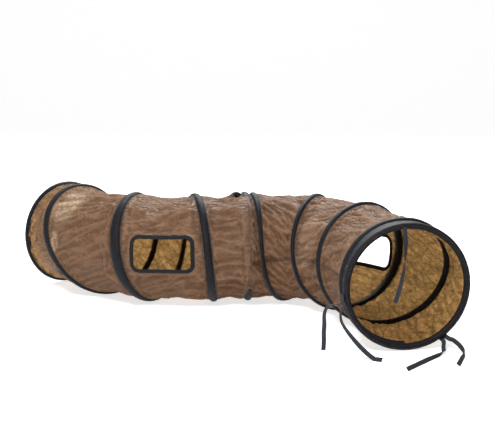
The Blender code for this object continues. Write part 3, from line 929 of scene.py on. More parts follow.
def finer(grid, axis):
    """Put a smooth point between each two along one axis: 0 is open at its ends and 1 goes round."""
    if axis == 1:
        before, after, second = np.roll(grid, 1, 1), np.roll(grid, -1, 1), np.roll(grid, -2, 1)
        between = (9 * (grid + after) - before - second) / 16
        return np.stack([grid, between], 2).reshape(grid.shape[0], -1, 3)
    padded = np.concatenate([2 * grid[:1] - grid[1:2], grid, 2 * grid[-1:] - grid[-2:-1]])
    between = (9 * (padded[1:-2] + padded[2:-1]) - padded[:-3] - padded[3:]) / 16
    result = np.zeros((2 * len(grid) - 1, *grid.shape[1:]))
    result[0::2] = grid
    result[1::2] = between
    return result


def grid_normals(points):
    """Outward normals of a tube's grid."""
    along = np.gradient(points, axis=0)
    around = np.roll(points, -1, 1) - np.roll(points, 1, 1)
    normals = np.cross(around, along)
    return normals / np.linalg.norm(normals, axis=2, keepdims=True)


def fold_shade_relief(points, normals):
    """Where the cloth rises out of its surroundings, to 1, and where it lies in, to -1: the cloth's colour
    takes it as painted highlights on ridges and painted shade in hollows.
    """
    soft = points
    for _ in range(RELIEF_STEPS):
        soft = (soft + np.roll(soft, 1, 1) + np.roll(soft, -1, 1)) / 3
        soft = np.concatenate([soft[:1], (soft[:-2] + soft[1:-1] + soft[2:]) / 3, soft[-1:]])
    return np.tanh(np.sum((points - soft) * normals, axis=2) / RELIEF_HEIGHT)


def painted_light_share(places, angles):
    """How strongly each place shows the paler patches of painted light."""
    turned = np.degrees(angles)
    total = 0
    for place, angle, along, around, share in PAINTED_LIGHT_PATCHES:
        apart = ((places - place) / along) ** 2 + ((turned - angle) / around) ** 2
        total = total + share * smooth_step(*PAINTED_LIGHT_EDGE, np.exp(-apart))
    return total


def column_angles(count):
    """The angles of a grid's columns."""
    return 2 * np.pi * np.arange(count) / count


def lie_cloth(sizes):
    places = grid_places()[:, None]
    angles = column_angles(COLUMNS)[None, :]
    radii = np.stack([wall_radius(places[:, 0], angle) for angle in angles[0]], 1)
    radii += (COVER_RADIUS - radii) * cover_share(places, angles)
    room = fold_room(places, angles)
    plain = on_wall(places, angles, radii)
    folded = on_wall(places, angles, radii + room * fold_heights(places, angles, FOLDS))
    distance = np.stack([binding_distance(places[:, 0], angle) for angle in angles[0]], 1)
    pinned = distance < PIN_REACH
    for bay in WINDOWS:
        pinned |= window_depth(bay, places, angles) > -WINDOW_PIN_REACH
    moved = settle(folded, pinned, sizes.slack, SETTLING_FRAMES) - plain
    out = grid_normals(plain)
    height = np.sum(moved * out, axis=2, keepdims=True)
    aside = moved - out * height
    far = np.maximum(np.linalg.norm(aside, axis=2, keepdims=True), 1e-9)
    limit = np.where(height > 0, sizes.fold_out, sizes.fold_in)
    kept = out * limit * np.tanh((height - sizes.fold_shift) / limit)
    kept += aside / far * sizes.fold_aside * np.tanh(far / sizes.fold_aside)
    folded = plain + kept * smooth_step(0, FREE_ROOM, room)[:, :, None]
    return places[:, 0], folded


def hem_shares(places, angles):
    """Where the cloth is doubled: beside the bindings, and along each half's lengthwise seam."""
    distance = np.stack([binding_distance(places, angle) for angle in angles], 1)
    hems = np.clip((HEM_WIDTH - distance) / HEM_EDGE, 0, 1)
    hems *= 1 - cover_share(places[:, None], angles[None, :])
    seam = np.radians(np.interp(places, SEAM_PLACES, SEAM_ANGLES))[:, None]
    apart = np.abs((angles[None, :] - seam + np.pi) % (2 * np.pi) - np.pi) * CLOTH_RADIUS
    return hems, np.clip((SEAM_WIDTH - apart) / SEAM_EDGE, 0, 1)


def open_edges(faces):
    """The edges that only one face has, each in its face's direction."""
    edges = np.concatenate([faces[:, [side, (side + 1) % 4]] for side in range(4)])
    keys = {tuple(edge) for edge in edges.tolist()}
    rim = np.array([edge for edge in keys if edge[::-1] not in keys])
    return rim[np.lexsort((rim[:, 1], rim[:, 0]))]


def cloth_piece(bay, places, points, normals, looks, thickness):
    """One bay's cloth as a thin shell, its window left open."""
    first, last = STATIONS[BAYS[bay][0]], STATIONS[BAYS[bay][1]]
    low = 0 if bay == 0 else int(np.argmin(np.abs(places - first)))
    high = len(places) - 1 if bay == 5 else int(np.argmin(np.abs(places - last)))
    rows = places[low:high + 1]
    columns = points.shape[1]
    angles = column_angles(columns)
    outer = points[low:high + 1].reshape(-1, 3)
    out = normals[low:high + 1].reshape(-1, 3)
    faces = grid_faces(len(rows), columns)
    if bay in WINDOWS:
        step = angles[1]
        middle_place = (rows[:-1] + rows[1:]) / 2
        depth = window_depth(bay, middle_place[:, None], angles[None, :] + step / 2).ravel()
        faces = faces[depth < WINDOW_BINDING / 2]
    count = len(outer)
    rim = open_edges(faces)
    rim_faces = np.stack([rim[:, 1], rim[:, 0], rim[:, 0] + count, rim[:, 1] + count], -1)
    everything = np.concatenate([faces, faces[:, ::-1] + count, rim_faces])
    shell = np.concatenate([outer, outer - out * thickness])
    used = np.unique(everything)
    index = np.full(2 * count, -1)
    index[used] = np.arange(len(used))
    everything = index[everything]
    name = f"cloth_panel_{bay + 1}"
    mesh = bpy.data.meshes.new(name)
    mesh.from_pydata(shell[used].tolist(), [], everything.tolist())
    piece = bpy.data.objects.new(name, mesh)
    bpy.context.scene.collection.objects.link(piece)
    set_material(piece, tunnel_material("cloth_outside"), tunnel_material("cloth_inside"))
    inside = np.zeros(len(everything), np.int32)
    inside[len(faces):2 * len(faces)] = 1
    mesh.polygons.foreach_set("material_index", inside)
    mesh.polygons.foreach_set("use_smooth", np.ones(len(everything), bool))
    set_cloth_uv(mesh, faces, columns, rows, len(rim_faces))
    both_normals = np.concatenate([out, -out])[used]
    for label, (values, inner_sign) in looks.items():
        layer = mesh.attributes.new(label, "FLOAT", "POINT")
        flat = values[low:high + 1].ravel()
        layer.data.foreach_set("value", np.concatenate([flat, inner_sign * flat])[used].astype(np.float32))
    mesh.normals_split_custom_set_from_vertices(both_normals.tolist())
    shares = np.stack([cloth_shares(bay, rows, angle) for angle in angles], 1)
    shares = closing_shares(bay, rows[:, None], angles[None, :], shares).ravel()
    return piece, np.concatenate([shares, shares])[used]


def set_cloth_uv(mesh, faces, columns, rows, rim_count):
    """The cloth's UV map in metres as cut: round the tube and along it, whole across the seam."""
    across = (faces % columns).astype(float)
    across[(across[:, 1] == 0), 1] = columns
    across[(across[:, 2] == 0), 2] = columns
    across *= 2 * np.pi * CLOTH_RADIUS / columns
    along = rows[faces // columns]
    outer = np.stack([across, along], -1)
    rim = np.zeros((rim_count, 4, 2))
    uv = np.concatenate([outer, outer[:, ::-1], rim]).astype(np.float32)
    layer = mesh.uv_layers.new(name="UVMap")
    layer.data.foreach_set("uv", np.ascontiguousarray(uv).ravel())


# Bindings

def arch(half, base, crown, fullness, turns):
    """Points of a flattened arch, at angles counted from its right foot."""
    return [(half * np.cos(turn), base + (crown - base) * np.sin(turn) ** fullness) for turn in turns]


def tape_section():
    """The coil binding's section: flat sewn flanges and a domed channel over the wire."""
    half, top, low = TAPE_WIDTH / 2, TAPE_SEAT + TAPE_GAUGE, TAPE_SEAT - TAPE_SINK
    turns = np.linspace(np.pi, 0, DOME_POINTS)
    dome = arch(TAPE_SHOULDER, top, TAPE_CROWN, DOME_FULLNESS, turns)
    left = [(-half, low), (-half, top - TAPE_EDGE), (-half + TAPE_EDGE, top)]
    right = [(half - TAPE_EDGE, top), (half, top - TAPE_EDGE), (half, low), (0, low)]
    return left + dome + right


def inner_tape_section():
    """The strip sewn along the inside, under the coil binding."""
    half, top = TAPE_WIDTH / 2, CLOTH_RADIUS - INNER_SINK
    low = top - INNER_GAUGE
    turns = np.linspace(0, np.pi, INNER_POINTS)
    dome = arch(half * INNER_DOME, low, low - INNER_RISE, INNER_FULLNESS, turns)
    return [(-half, low + INNER_EDGE), (-half, top), (half, top), (half, low + INNER_EDGE)] + dome


def puckers(along, across, reach, loop=None):
    """Small waves of sewn tape, the same wherever a length is laid, and whole round a closed loop."""
    total = 0
    for period, skew, start, share in PUCKERS:
        fitted = loop / round(loop / period) if loop else period
        total = total + share * np.sin(along * 2 * np.pi / fitted + across * skew + start)
    return reach * total


def lay_tape(piece, places, angles, ways, heights, length_marks, ripple, loop=None):
    """Bend a straight strip onto the wall."""
    wave = puckers(length_marks, ways, ripple, loop)
    top = TAPE_SEAT + TAPE_GAUGE
    crown = np.clip((heights - top) / (TAPE_CROWN - top), 0, 1)
    edge = np.abs(ways) > TAPE_WIDTH / 2 - RIPPLE_EDGE
    aside = wave * np.where(edge, RIPPLE_AT_EDGE, RIPPLE_WITHIN)
    set_points(piece, on_wall(places + ways + aside, angles, heights - np.abs(wave) * crown))
    set_uv(piece, ways + heights, length_marks)


def coil_strip(name, bay, section, ripple):
    """A length of the coil's tape in one bay."""
    _, _, first_turn, last_turn = BAYS[bay]
    turned = last_turn - first_turn
    trim = END_GAP / 2 / CLOTH_RADIUS / (2 * np.pi)
    per_turn, finer_steps = TAPE_STEPS
    piece = straight_strip(name, section, (int(round(turned * per_turn)), finer_steps))
    points = mesh_points(piece)
    turns = first_turn + trim + (turned - 2 * trim) * points[:, 1]
    angles = 2 * np.pi * turns
    marks = turns * 2 * np.pi * TAPE_SEAT
    lay_tape(piece, coil_place(turns), angles, points[:, 0], points[:, 2], marks, ripple)
    finish_solid(piece)
    return piece, closing_shares(bay, coil_place(turns) + points[:, 0], angles, tape_shares(bay, turns))


def ring_strip(name, station, section, ripple):
    """A ring's tape, closed on itself."""
    piece = straight_strip(name, section, TAPE_STEPS, capped=False)
    points = mesh_points(piece)
    angles = 2 * np.pi * points[:, 1]
    loop = 2 * np.pi * TAPE_SEAT
    marks = points[:, 1] * loop
    lay_tape(piece, STATIONS[station], angles, points[:, 0], points[:, 2], marks, ripple, loop)
    finish_solid(piece, merge=MERGE_REACH)
    return piece


def stitch_shape():
    """One stitch lying along y: a short thread that dips at both ends."""
    deselect_all()
    bpy.ops.mesh.primitive_cylinder_add(
        vertices=STITCH_SIDES, radius=STITCH_RADIUS, depth=STITCH_LENGTH, rotation=(math.pi / 2, 0, 0))
    stitch = bpy.context.object
    bpy.ops.object.transform_apply(location=False, rotation=True, scale=False)
    bpy.ops.object.mode_set(mode="EDIT")
    pick_edges(stitch, lambda a, b: abs(a.y - b.y) > ROW_REACH)
    bpy.ops.mesh.subdivide(number_cuts=1)
    bpy.ops.object.mode_set(mode="OBJECT")
    points = mesh_points(stitch)
    ends = np.abs(points[:, 1]) > STITCH_LENGTH / 4
    points[ends, 2] -= STITCH_DIP
    points[ends, 0] *= STITCH_TAPER
    faces = [list(face.vertices) for face in stitch.data.polygons]
    bpy.data.objects.remove(stitch, do_unlink=True)
    return points, faces


def sew(name, places, angles, radii, ahead_places, ahead_angles):
    """Stitches at points of the wall, each lying towards the next mark of its line."""
    shape, faces = stitch_shape()
    here = on_wall(places, angles, radii)
    ahead = on_wall(ahead_places, ahead_angles, radii)
    way = ahead - here
    way /= np.linalg.norm(way, axis=1, keepdims=True)
    out = here - on_wall(places, angles, 0.0)
    out -= way * np.sum(out * way, axis=1, keepdims=True)
    out /= np.linalg.norm(out, axis=1, keepdims=True)
    side = np.cross(way, out)
    points = (here[:, None] + side[:, None] * shape[None, :, 0:1] + way[:, None] * shape[None, :, 1:2]
              + out[:, None] * shape[None, :, 2:3])
    count = len(shape)
    all_faces = [[index + count * number for index in face] for number in range(len(here)) for face in faces]
    mesh = bpy.data.meshes.new(name)
    mesh.from_pydata(points.reshape(-1, 3).tolist(), [], all_faces)
    piece = bpy.data.objects.new(name, mesh)
    bpy.context.scene.collection.objects.link(piece)
    finish_solid(piece, smooth_angle=60)
    return piece, count


# Ribbons

def smooth_route(route, count):
    """A smooth line through a route's points, in even steps."""
    route = np.array(route, float)
    padded = np.concatenate([[2 * route[0] - route[1]], route, [2 * route[-1] - route[-2]]])
    marks = np.linspace(0, len(route) - 1, ROUTE_SAMPLES * count)
    number = np.clip(marks.astype(int), 0, len(route) - 2)
    t = (marks - number)[:, None]
    a, b, c, d = (padded[number + shift] for shift in range(4))
    bend, twist = 2 * a - 5 * b + 4 * c - d, 3 * b - a - 3 * c + d
    line = 0.5 * (2 * b + (c - a) * t + bend * t ** 2 + twist * t ** 3)
    far = np.concatenate([[0], np.cumsum(np.linalg.norm(np.diff(line, axis=0), axis=1))])
    even = np.linspace(0, far[-1], count)
    return np.stack([np.interp(even, far, line[:, axis]) for axis in range(3)], -1)


def ribbon_piece(name, start, route, first_flat, last_flat):
    """A flat ribbon that follows its route, turns its width on the way and stays off the floor."""
    line = smooth_route(np.array(route) + start, RIBBON_STEPS + 1)
    deselect_all()
    bpy.ops.mesh.primitive_grid_add(x_subdivisions=RIBBON_COLUMNS, y_subdivisions=RIBBON_STEPS, size=1)
    piece = bpy.context.object
    piece.name = piece.data.name = name
    flat = mesh_points(piece)
    share = np.round((flat[:, 1] + 0.5) * RIBBON_STEPS).astype(int)
    way = np.gradient(line, axis=0)
    way /= np.linalg.norm(way, axis=1, keepdims=True)
    mix = np.linspace(0, 1, RIBBON_STEPS + 1)[:, None]
    across = np.array(first_flat) * (1 - mix) + np.array(last_flat) * mix
    across -= way * np.sum(across * way, axis=1, keepdims=True)
    across /= np.linalg.norm(across, axis=1, keepdims=True)
    lift = np.cross(way, across)
    below = (np.abs(across[:, 2]) * RIBBON_WIDTH + np.abs(lift[:, 2]) * RIBBON_THICKNESS) / 2
    line[:, 2] += np.maximum(0, FLOOR_GAP - (line[:, 2] - below))
    curl = RIBBON_CURL * np.cos(flat[:, 0] * 2 * np.pi) * np.clip(mix[share, 0] * RIBBON_CURL_START, 0, 1)
    points = line[share] + across[share] * (flat[:, 0:1] * RIBBON_WIDTH) + lift[share] * curl[:, None]
    set_points(piece, points)
    length = np.linalg.norm(np.diff(line, axis=0), axis=1).sum()
    set_uv(piece, flat[:, 0] * RIBBON_WIDTH, (flat[:, 1] + 0.5) * length)
    activate(piece)
    thick = piece.modifiers.new("thickness", "SOLIDIFY")
    thick.thickness = RIBBON_THICKNESS * RIBBON_SOFTNESS
    thick.offset = 0
    thick.use_even_offset = True
    bpy.ops.object.modifier_apply(modifier=thick.name)
    finish_solid(piece, smooth_angle=50)
    set_material(piece, tunnel_material("black_ribbon"))
    return piece, line, length


def tail_exit(angle, radius, forward, below):
    """Where a tail leaves its tab."""
    out = radius + RIBBON_THICKNESS
    return on_wall(STATIONS[-1] + forward, angle + below / radius, out)


# Sizes, colours and operators

def length_choice(name, description, default):
    """A length that the panel offers."""
    return bpy.props.FloatProperty(name=name, description=description, default=default, unit="LENGTH")


def share_choice(name, description, default):
    """A share that the panel offers."""
    return bpy.props.FloatProperty(name=name, description=description, default=default, subtype="FACTOR")


def colour_choice(name, description, default):
    """A colour that the panel offers."""
    return bpy.props.FloatVectorProperty(
        name=name, description=description, default=default, subtype="COLOR", size=3)


class TunnelSizes(bpy.types.PropertyGroup):
    """How the cloth is cut and how it may fold."""

    cloth_thickness: length_choice("Cloth thickness", "Thickness of the cloth", 0.0004)
    slack: share_choice("Slack", "Share by which the cloth is cut larger than it lies", 0.022)
    fold_out: length_choice("Fold height", "Most that a fold stands out", 0.0025)
    fold_in: length_choice("Fold depth", "Most that a fold lies in", 0.0050)
    fold_shift: length_choice("Fold shift", "How far all folds lie in", 0.0010)
    fold_aside: length_choice("Fold drift", "Most that a fold moves the cloth along itself", 0.0012)


class TunnelColours(bpy.types.PropertyGroup):
    """The tunnel's colours."""

    cloth: colour_choice("Cloth", "Outside of the cloth", (0.41, 0.245, 0.163))
    cloth_shade: colour_choice("Cloth shade", "Darker tone of the outside", (0.33, 0.193, 0.125))
    lining: colour_choice("Inside", "Inside of the cloth", (0.62, 0.40, 0.19))
    lining_shade: colour_choice("Inside shade", "Darker tone of the inside", (0.52, 0.33, 0.15))
    lit_outside: colour_choice("Lit outside", "Light through the outer face", (0.97, 0.72, 0.43))
    lit_inside: colour_choice("Lit inside", "Light through the inner face", (1.0, 0.77, 0.45))
    lit_share: share_choice("Light through", "Share of the light that goes through the outer face", 0.62)
    lining_lit_share: share_choice(
        "Light through inside", "Share of the light that goes through the inner face", 0.95)
    tape: colour_choice("Tape", "Binding tape", (0.005, 0.005, 0.007))
    tape_worn: colour_choice("Rubbed tape", "Binding tape where it is rubbed", (0.010, 0.010, 0.014))
    thread: colour_choice("Thread", "Sewing thread", (0.022, 0.023, 0.028))
    floor: colour_choice("Floor", "Floor and backdrop", (0.80, 0.80, 0.80))


class TUNNEL_OT_camera(bpy.types.Operator):
    """Add the camera at the photograph's viewing angle"""

    bl_idname = "tunnel.camera"
    bl_label = "Camera"

    def execute(self, context):
        data = bpy.data.cameras.new("camera")
        data.sensor_width = 36
        data.lens = FOCAL_PIXELS / IMAGE_WIDTH * data.sensor_width
        camera = bpy.data.objects.new("camera", data)
        context.scene.collection.objects.link(camera)
        turn = Matrix.Rotation(math.pi / 2 - CAMERA_TILT, 4, "X") @ Matrix.Rotation(-CAMERA_ROLL, 4, "Z")
        camera.matrix_world = Matrix.Translation(CAMERA_PLACE) @ turn
        context.scene.camera = camera
        return {"FINISHED"}


class TUNNEL_OT_ties(bpy.types.Operator):
    """Add the three ribbon ties on the mouth ring"""

    bl_idname = "tunnel.ties"
    bl_label = "Ribbon ties"

    def execute(self, context):
        _, _, facing = middle_line(STATIONS[-1])
        ahead = (float(np.cos(facing)), float(np.sin(facing)), 0)
        near = np.array([float(np.sin(facing)), float(-np.cos(facing)), 0])
        round_low = near * math.cos(RIGHT_TIE_ANGLE) - np.array([0, 0, 1]) * math.sin(RIGHT_TIE_ANGLE)
        reach = TAB_LENGTH / 2 + END_GAP
        beside = (PAIR_WIDTH - RIBBON_WIDTH) / 2
        left = [tail_exit(LEFT_TIE_ANGLE, TAB_OUTSIDE, side, reach) for side in (-beside, beside)]
        right = [tail_exit(RIGHT_TIE_ANGLE, TAB_OUTSIDE, reach, side) for side in (-beside, beside)]
        top = tail_exit(TOP_TIE_ANGLE, TAB_INSIDE, reach, 0)
        tails = (
            ("left_tie_tail_a", left[0], LEFT_TAIL_A, ahead, (1, 0.2, 0), "hanging"),
            ("left_tie_tail_b", left[1], LEFT_TAIL_B, ahead, (1, 0.2, 0.6), "hanging"),
            ("right_tie_tail_a", right[0], RIGHT_TAIL_A, round_low, (-0.5, 0.45, 0.75), "loose"),
            ("right_tie_tail_b", right[1], RIGHT_TAIL_B, round_low, (-0.9, 0.3, 0.6), "loose"),
            ("top_tie_tail", top, TOP_TAIL, near, (1, -0.6, 0), "hanging"),
        )
        for node, start, route, first_flat, last_flat, lay in tails:
            piece, line, length = ribbon_piece(f"{node}_ribbon", start, route, first_flat, last_flat)
            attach(piece, "bay_6")
            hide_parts(node)
        self.tabs()
        return {"FINISHED"}

    def tabs(self):
        """The folded middle of each ribbon, sewn flat on the mouth ring."""
        for node, angle, radius, along, around in (
            ("left_tie_tab", LEFT_TIE_ANGLE, TAB_OUTSIDE, PAIR_WIDTH, TAB_LENGTH),
            ("right_tie_tab", RIGHT_TIE_ANGLE, TAB_OUTSIDE, TAB_LENGTH, PAIR_WIDTH),
            ("top_tie_tab", TOP_TIE_ANGLE, TAB_INSIDE, TAB_LENGTH, RIBBON_WIDTH),
        ):
            thick = 2 * RIBBON_THICKNESS
            soft = RIBBON_THICKNESS / 2
            half = along / 2
            section = [
                (-half, radius + soft), (-half + soft, radius), (half - soft, radius), (half, radius + soft),
                (half, radius + thick - soft), (half - soft, radius + thick), (0, radius + thick),
                (-half + soft, radius + thick), (-half, radius + thick - soft),
            ]
            piece = straight_strip(f"{node}_fold", section, (SHORT_STEPS["tie_tab"],))
            points = mesh_points(piece)
            turned = angle + (points[:, 1] - 0.5) * around / radius
            set_points(piece, on_wall(STATIONS[-1] + points[:, 0], turned, points[:, 2]))
            set_uv(piece, points[:, 0] + points[:, 2], points[:, 1] * around)
            finish_solid(piece)
            set_material(piece, tunnel_material("black_ribbon"))
            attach(piece, "bay_6")
            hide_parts(node)


class TUNNEL_OT_cloth(bpy.types.Operator):
    """Add the cloth tube, one panel to each bay"""

    bl_idname = "tunnel.cloth"
    bl_label = "Cloth"

    def execute(self, context):
        sizes = context.scene.tunnel_sizes
        places, points = lie_cloth(sizes)
        points = finer(finer(points, 0), 1)
        fine_places = np.zeros(2 * len(places) - 1)
        fine_places[0::2] = places
        fine_places[1::2] = (places[:-1] + places[1:]) / 2
        angles = column_angles(points.shape[1])
        hems, seam = hem_shares(fine_places, angles)
        normals = grid_normals(points)
        grid = (fine_places[:, None], angles[None, :])
        rise = fold_room(*grid) * fold_heights(*grid, FINE_FOLDS) + seam * SEAM_RISE
        points = points + normals * rise[:, :, None]
        normals = grid_normals(points)
        hem = np.maximum(hems, seam)
        # The cloth's looks: its doubled hems, the relief that gives painted shade and highlights over the
        # folds, and the share of painted light in paler patches.
        looks = {"hem": (hem, 1), "fold_shade_relief": (fold_shade_relief(points, normals), -1), "painted_light_share": (painted_light_share(*grid), 1)}
        for bay in range(len(BAYS)):
            piece, shares = cloth_piece(bay, fine_places, points, normals, looks, sizes.cloth_thickness)
            blend_bay(piece, bay, shares)
            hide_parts(f"cloth_bay_{bay + 1}")
        return {"FINISHED"}


class TUNNEL_OT_coil(bpy.types.Operator):
    """Add the coil's binding, its inside strip, its stitches and its wire, one length to each bay"""

    bl_idname = "tunnel.coil"
    bl_label = "Coil"

    def execute(self, context):
        wire = [
            (0.5 * WIRE_DIAMETER * math.cos(turn), WIRE_CENTRE + 0.5 * WIRE_DIAMETER * math.sin(turn))
            for turn in np.linspace(0, 2 * np.pi, WIRE_SIDES, endpoint=False)
        ]
        for bay in range(len(BAYS)):
            number = bay + 1
            for name, section, ripple, node, slot, finish in (
                (
                    f"coil_tape_{number}", tape_section(), TAPE_RIPPLE, f"coil_binding_{number}",
                    "black_binding", "black_tape",
                ),
                (
                    f"coil_inner_tape_{number}", inner_tape_section(), INNER_RIPPLE, None,
                    "black_binding", "black_tape",
                ),
                (f"coil_spring_{number}", wire, 0.0, f"coil_wire_{number}", "spring_steel", "spring_steel"),
            ):
                piece, shares = coil_strip(name, bay, section, ripple)
                set_material(piece, tunnel_material(finish))
                blend_bay(piece, bay, shares)
                if node:
                    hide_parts(node)
            self.stitches(bay)
        return {"FINISHED"}

    def stitches(self, bay):
        """Two rows of stitches along the binding's flanges."""
        _, _, first_turn, last_turn = BAYS[bay]
        step = STITCH_PITCH / (2 * np.pi * TAPE_SEAT)
        turns = np.arange(first_turn + step, last_turn - step, step)
        both = np.concatenate([turns, turns])
        side = np.repeat([-STITCH_LINE, STITCH_LINE], len(turns))
        radii = np.full(len(both), TAPE_SEAT + STITCH_HEIGHT)
        piece, count = sew(
            f"coil_stitches_{bay + 1}", coil_place(both) + side, 2 * np.pi * both, radii,
            coil_place(both + step) + side, 2 * np.pi * (both + step),
        )
        set_material(piece, tunnel_material("black_thread"))
        shares = closing_shares(bay, coil_place(both) + side, 2 * np.pi * both, tape_shares(bay, both))
        blend_bay(piece, bay, np.repeat(shares, count))


class TUNNEL_OT_rings(bpy.types.Operator):
    """Add the bindings of the three rings, with their stitches"""

    bl_idname = "tunnel.rings"
    bl_label = "Rings"

    def execute(self, context):
        labels = ("left_ring", "middle_ring", "mouth_ring")
        for label, station, body in zip(labels, RING_STATIONS, ("bay_1", "middle", "bay_6")):
            tape = ring_strip(f"{label}_tape", station, tape_section(), TAPE_RIPPLE)
            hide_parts(f"{label}_binding")
            inner = ring_strip(f"{label}_inner_tape", station, inner_tape_section(), INNER_RIPPLE)
            angles = np.tile(2 * np.pi * np.arange(RING_STITCHES) / RING_STITCHES, 2)
            places = STATIONS[station] + np.repeat([-STITCH_LINE, STITCH_LINE], RING_STITCHES)
            radii = np.full(2 * RING_STITCHES, TAPE_SEAT + STITCH_HEIGHT)
            thread, _ = sew(f"{label}_stitches", places, angles, radii, places, angles + RING_STITCH_TURN)
            for piece, finish in ((tape, "black_tape"), (inner, "black_tape"), (thread, "black_thread")):
                set_material(piece, tunnel_material(finish))
                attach(piece, body)
            for node in (f"{label}_wire", f"{label}_sleeve"):
                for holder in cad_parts[node].material_slots:
                    holder.material = tunnel_material("spring_steel")
        self.mouth_band()
        return {"FINISHED"}

    def mouth_band(self):
        """The black strip over the narrow gap between the coil's last half turn and the mouth ring."""
        low = TAPE_SEAT - BAND_SINK
        high = low + BAND_GAUGE
        section = [(0, low), (0, high), (0.5, high), (1, high), (1, low), (0.5, low)]
        piece = straight_strip("mouth_band", section, (SHORT_STEPS["mouth_band"],))
        points = mesh_points(piece)
        turns = BAND_TURNS[0] + (BAND_TURNS[1] - BAND_TURNS[0]) * points[:, 1]
        start = coil_place(turns) + TAPE_WIDTH / 2 - BAND_LAP
        end = STATIONS[-1] - TAPE_WIDTH / 2 + BAND_LAP
        places = start + (end - start) * points[:, 0]
        set_points(piece, on_wall(places, 2 * np.pi * turns, points[:, 2]))
        set_uv(piece, points[:, 0] * TAPE_WIDTH, turns * 2 * np.pi * TAPE_SEAT)
        finish_solid(piece)
        set_material(piece, tunnel_material("black_tape"))
        bay = len(BAYS) - 1
        coil_side = tape_shares(bay, turns)
        shares = coil_side + (1 - coil_side) * points[:, 0]
        blend_bay(piece, bay, closing_shares(bay, places, 2 * np.pi * turns, shares))


class TUNNEL_OT_windows(bpy.types.Operator):
    """Add the bindings sewn round the two windows"""

    bl_idname = "tunnel.windows"
    bl_label = "Windows"

    def execute(self, context):
        for bay, (label, _, _, _) in WINDOWS.items():
            piece = straight_strip(f"{label}_tape", WINDOW_SECTION, WINDOW_STEPS, capped=False)
            points = mesh_points(piece)
            places, angles, radii = self.around(bay, points[:, 1] * 4, points[:, 0])
            wave = puckers(points[:, 1] * WINDOW_ROUND, points[:, 0], WINDOW_RIPPLE, loop=WINDOW_ROUND)
            radii = radii - WINDOW_SINK + points[:, 2] + wave * WINDOW_RIPPLE_OUT
            set_points(piece, on_wall(places, angles, radii))
            set_uv(piece, points[:, 0] + points[:, 2], points[:, 1] * WINDOW_UV_ROUND)
            self.close(piece, bay, self.shares(bay, places, angles))
            self.stitches(bay, label)
        return {"FINISHED"}

    def around(self, bay, marks, insets):
        """Places, angles and radii on the wall at insets from a window's outline."""
        places, angles = window_outline(bay, marks, np.asarray(insets))
        radii = np.array([float(wall_radius([place], angle)[0]) for place, angle in zip(places, angles)])
        return places, angles, radii

    def shares(self, bay, places, angles):
        """How far points of the wall go with their bay's joint."""
        shares = [float(cloth_shares(bay, place, angle)) for place, angle in zip(places, angles)]
        return closing_shares(bay, places, angles, np.array(shares))

    def close(self, piece, bay, shares):
        """Join the strip's two ends, which lie on each other."""
        layer = piece.data.attributes.new("share", "FLOAT", "POINT")
        layer.data.foreach_set("value", shares.astype(np.float32))
        finish_solid(piece, merge=MERGE_REACH)
        kept = np.zeros(len(piece.data.vertices), np.float32)
        piece.data.attributes["share"].data.foreach_get("value", kept)
        piece.data.attributes.remove(piece.data.attributes["share"])
        set_material(piece, tunnel_material("black_tape"))
        blend_bay(piece, bay, kept)
        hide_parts(f"{WINDOWS[bay][0]}_binding")

    def stitches(self, bay, label):
        """One row of stitches near the binding's outer edge."""
        marks = np.arange(WINDOW_STITCHES) * 4 / WINDOW_STITCHES
        inset = np.full(WINDOW_STITCHES, WINDOW_STITCH_INSET)
        places, angles, radii = self.around(bay, marks, inset)
        ahead_places, ahead_angles, _ = self.around(bay, marks + WINDOW_STITCH_MARK, inset)
        radii = radii + WINDOW_STITCH_HEIGHT
        thread, size = sew(f"{label}_stitches", places, angles, radii, ahead_places, ahead_angles)
        set_material(thread, tunnel_material("black_thread"))
        blend_bay(thread, bay, np.repeat(self.shares(bay, places, angles), size))


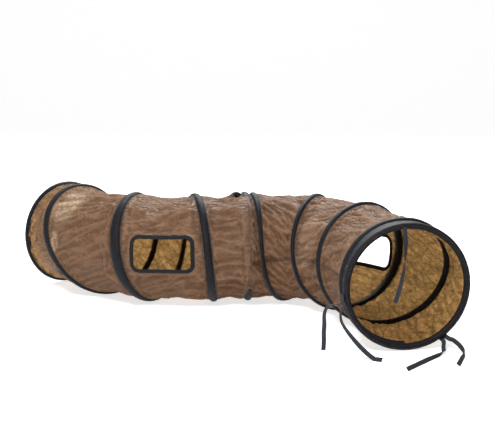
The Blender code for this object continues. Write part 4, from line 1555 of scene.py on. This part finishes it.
class TUNNEL_OT_stage(bpy.types.Operator):
    """Add the pale floor, the backdrop and the soft studio light"""

    bl_idname = "tunnel.stage"
    bl_label = "Stage"

    def execute(self, context):
        deselect_all()
        bpy.ops.mesh.primitive_plane_add(size=FLOOR_SIZE, location=(0, 0, 0))
        floor = context.object
        floor.name = floor.data.name = "floor"
        bpy.ops.object.mode_set(mode="EDIT")
        pick_edges(floor, lambda a, b: min(a.y, b.y) > FLOOR_SIZE / 4)
        bpy.ops.mesh.extrude_region_move(TRANSFORM_OT_translate={"value": (0, 0, BACKDROP_HEIGHT)})
        pick_edges(floor, lambda a, b: min(a.y, b.y) > FLOOR_SIZE / 4 and max(a.z, b.z) < BACKDROP_HEIGHT / 4)
        bpy.ops.mesh.bevel(offset=BACKDROP_BEND, segments=BACKDROP_SEGMENTS)
        bpy.ops.object.mode_set(mode="OBJECT")
        bpy.ops.object.shade_smooth()
        set_material(floor, self.floor_material(tuple(context.scene.tunnel_colours.floor)))
        self.lights(context)
        return {"FINISHED"}

    def floor_material(self, colour):
        """A pale floor that shows white to the camera and keeps the shadow."""
        material = new_material("pale_floor", colour, 0.7, IOR=1.3)
        shader = material.node_tree.nodes["Principled BSDF"]
        path = add_node(material, "ShaderNodeLightPath").outputs
        seen = path["Is Camera Ray"]
        for ray in ("Is Glossy Ray", "Is Transmission Ray"):
            either = add_node(material, "ShaderNodeMath", {"operation": "MAXIMUM"}, i0=seen, i1=path[ray])
            seen = either.outputs[0]
        glow = add_node(material, "ShaderNodeMath", {"operation": "MULTIPLY"}, i0=seen, i1=FLOOR_GLOW)
        shader.inputs["Emission Color"].default_value = (1, 1, 1, 1)
        material.node_tree.links.new(glow.outputs[0], shader.inputs["Emission Strength"])
        return material

    def lights(self, context):
        """A light above and behind, one above and in front, and a soft surrounding."""
        for name, (place, aim, size, power) in LAMPS.items():
            data = bpy.data.lights.new(name, "AREA")
            data.energy = power
            data.size = size
            lamp = bpy.data.objects.new(name, data)
            context.scene.collection.objects.link(lamp)
            way = Vector(aim) - Vector(place)
            lamp.matrix_world = Matrix.Translation(place) @ way.to_track_quat("-Z", "Y").to_matrix().to_4x4()
        world = bpy.data.worlds.new("studio")
        world.use_nodes = True
        context.scene.world = world
        tree = world.node_tree
        back = tree.nodes["Background"]
        back.inputs["Color"].default_value = (1, 1, 1, 1)
        path = tree.nodes.new("ShaderNodeLightPath")
        level = tree.nodes.new("ShaderNodeMapRange")
        level.inputs["To Min"].default_value = WORLD_LIGHT
        level.inputs["To Max"].default_value = WORLD_SEEN
        tree.links.new(path.outputs["Is Camera Ray"], level.inputs["Value"])
        tree.links.new(level.outputs[0], back.inputs["Strength"])
        context.scene.view_settings.view_transform = "Standard"


class TUNNEL_PT_panel(bpy.types.Panel):
    """The tunnel's pieces and sizes"""

    bl_idname = "TUNNEL_PT_panel"
    bl_label = "Cat tunnel"
    bl_space_type = "VIEW_3D"
    bl_region_type = "UI"
    bl_category = "Tunnel"

    def draw(self, context):
        for operator in OPERATORS:
            self.layout.operator(operator.bl_idname)
        for group in (context.scene.tunnel_sizes, context.scene.tunnel_colours):
            for name in group.__annotations__:
                self.layout.prop(group, name)


OPERATORS = (
    TUNNEL_OT_camera, TUNNEL_OT_ties, TUNNEL_OT_cloth, TUNNEL_OT_coil, TUNNEL_OT_rings, TUNNEL_OT_windows,
    TUNNEL_OT_stage,
)
CLASSES = (TunnelSizes, TunnelColours, *OPERATORS, TUNNEL_PT_panel)


def register():
    """Register the classes and the scene's sizes and colours."""
    for item in CLASSES:
        bpy.utils.register_class(item)
    bpy.types.Scene.tunnel_sizes = bpy.props.PointerProperty(type=TunnelSizes)
    bpy.types.Scene.tunnel_colours = bpy.props.PointerProperty(type=TunnelColours)


def unregister():
    """Undo register."""
    del bpy.types.Scene.tunnel_colours
    del bpy.types.Scene.tunnel_sizes
    for item in reversed(CLASSES):
        bpy.utils.unregister_class(item)


def main():
    """Make the whole tunnel."""
    register()
    bpy.ops.tunnel.camera()
    bpy.ops.tunnel.ties()
    bpy.ops.tunnel.cloth()
    bpy.ops.tunnel.coil()
    bpy.ops.tunnel.rings()
    bpy.ops.tunnel.windows()
    bpy.ops.tunnel.stage()
    bpy.context.view_layer.update()


if __name__ == "__main__":
    main()
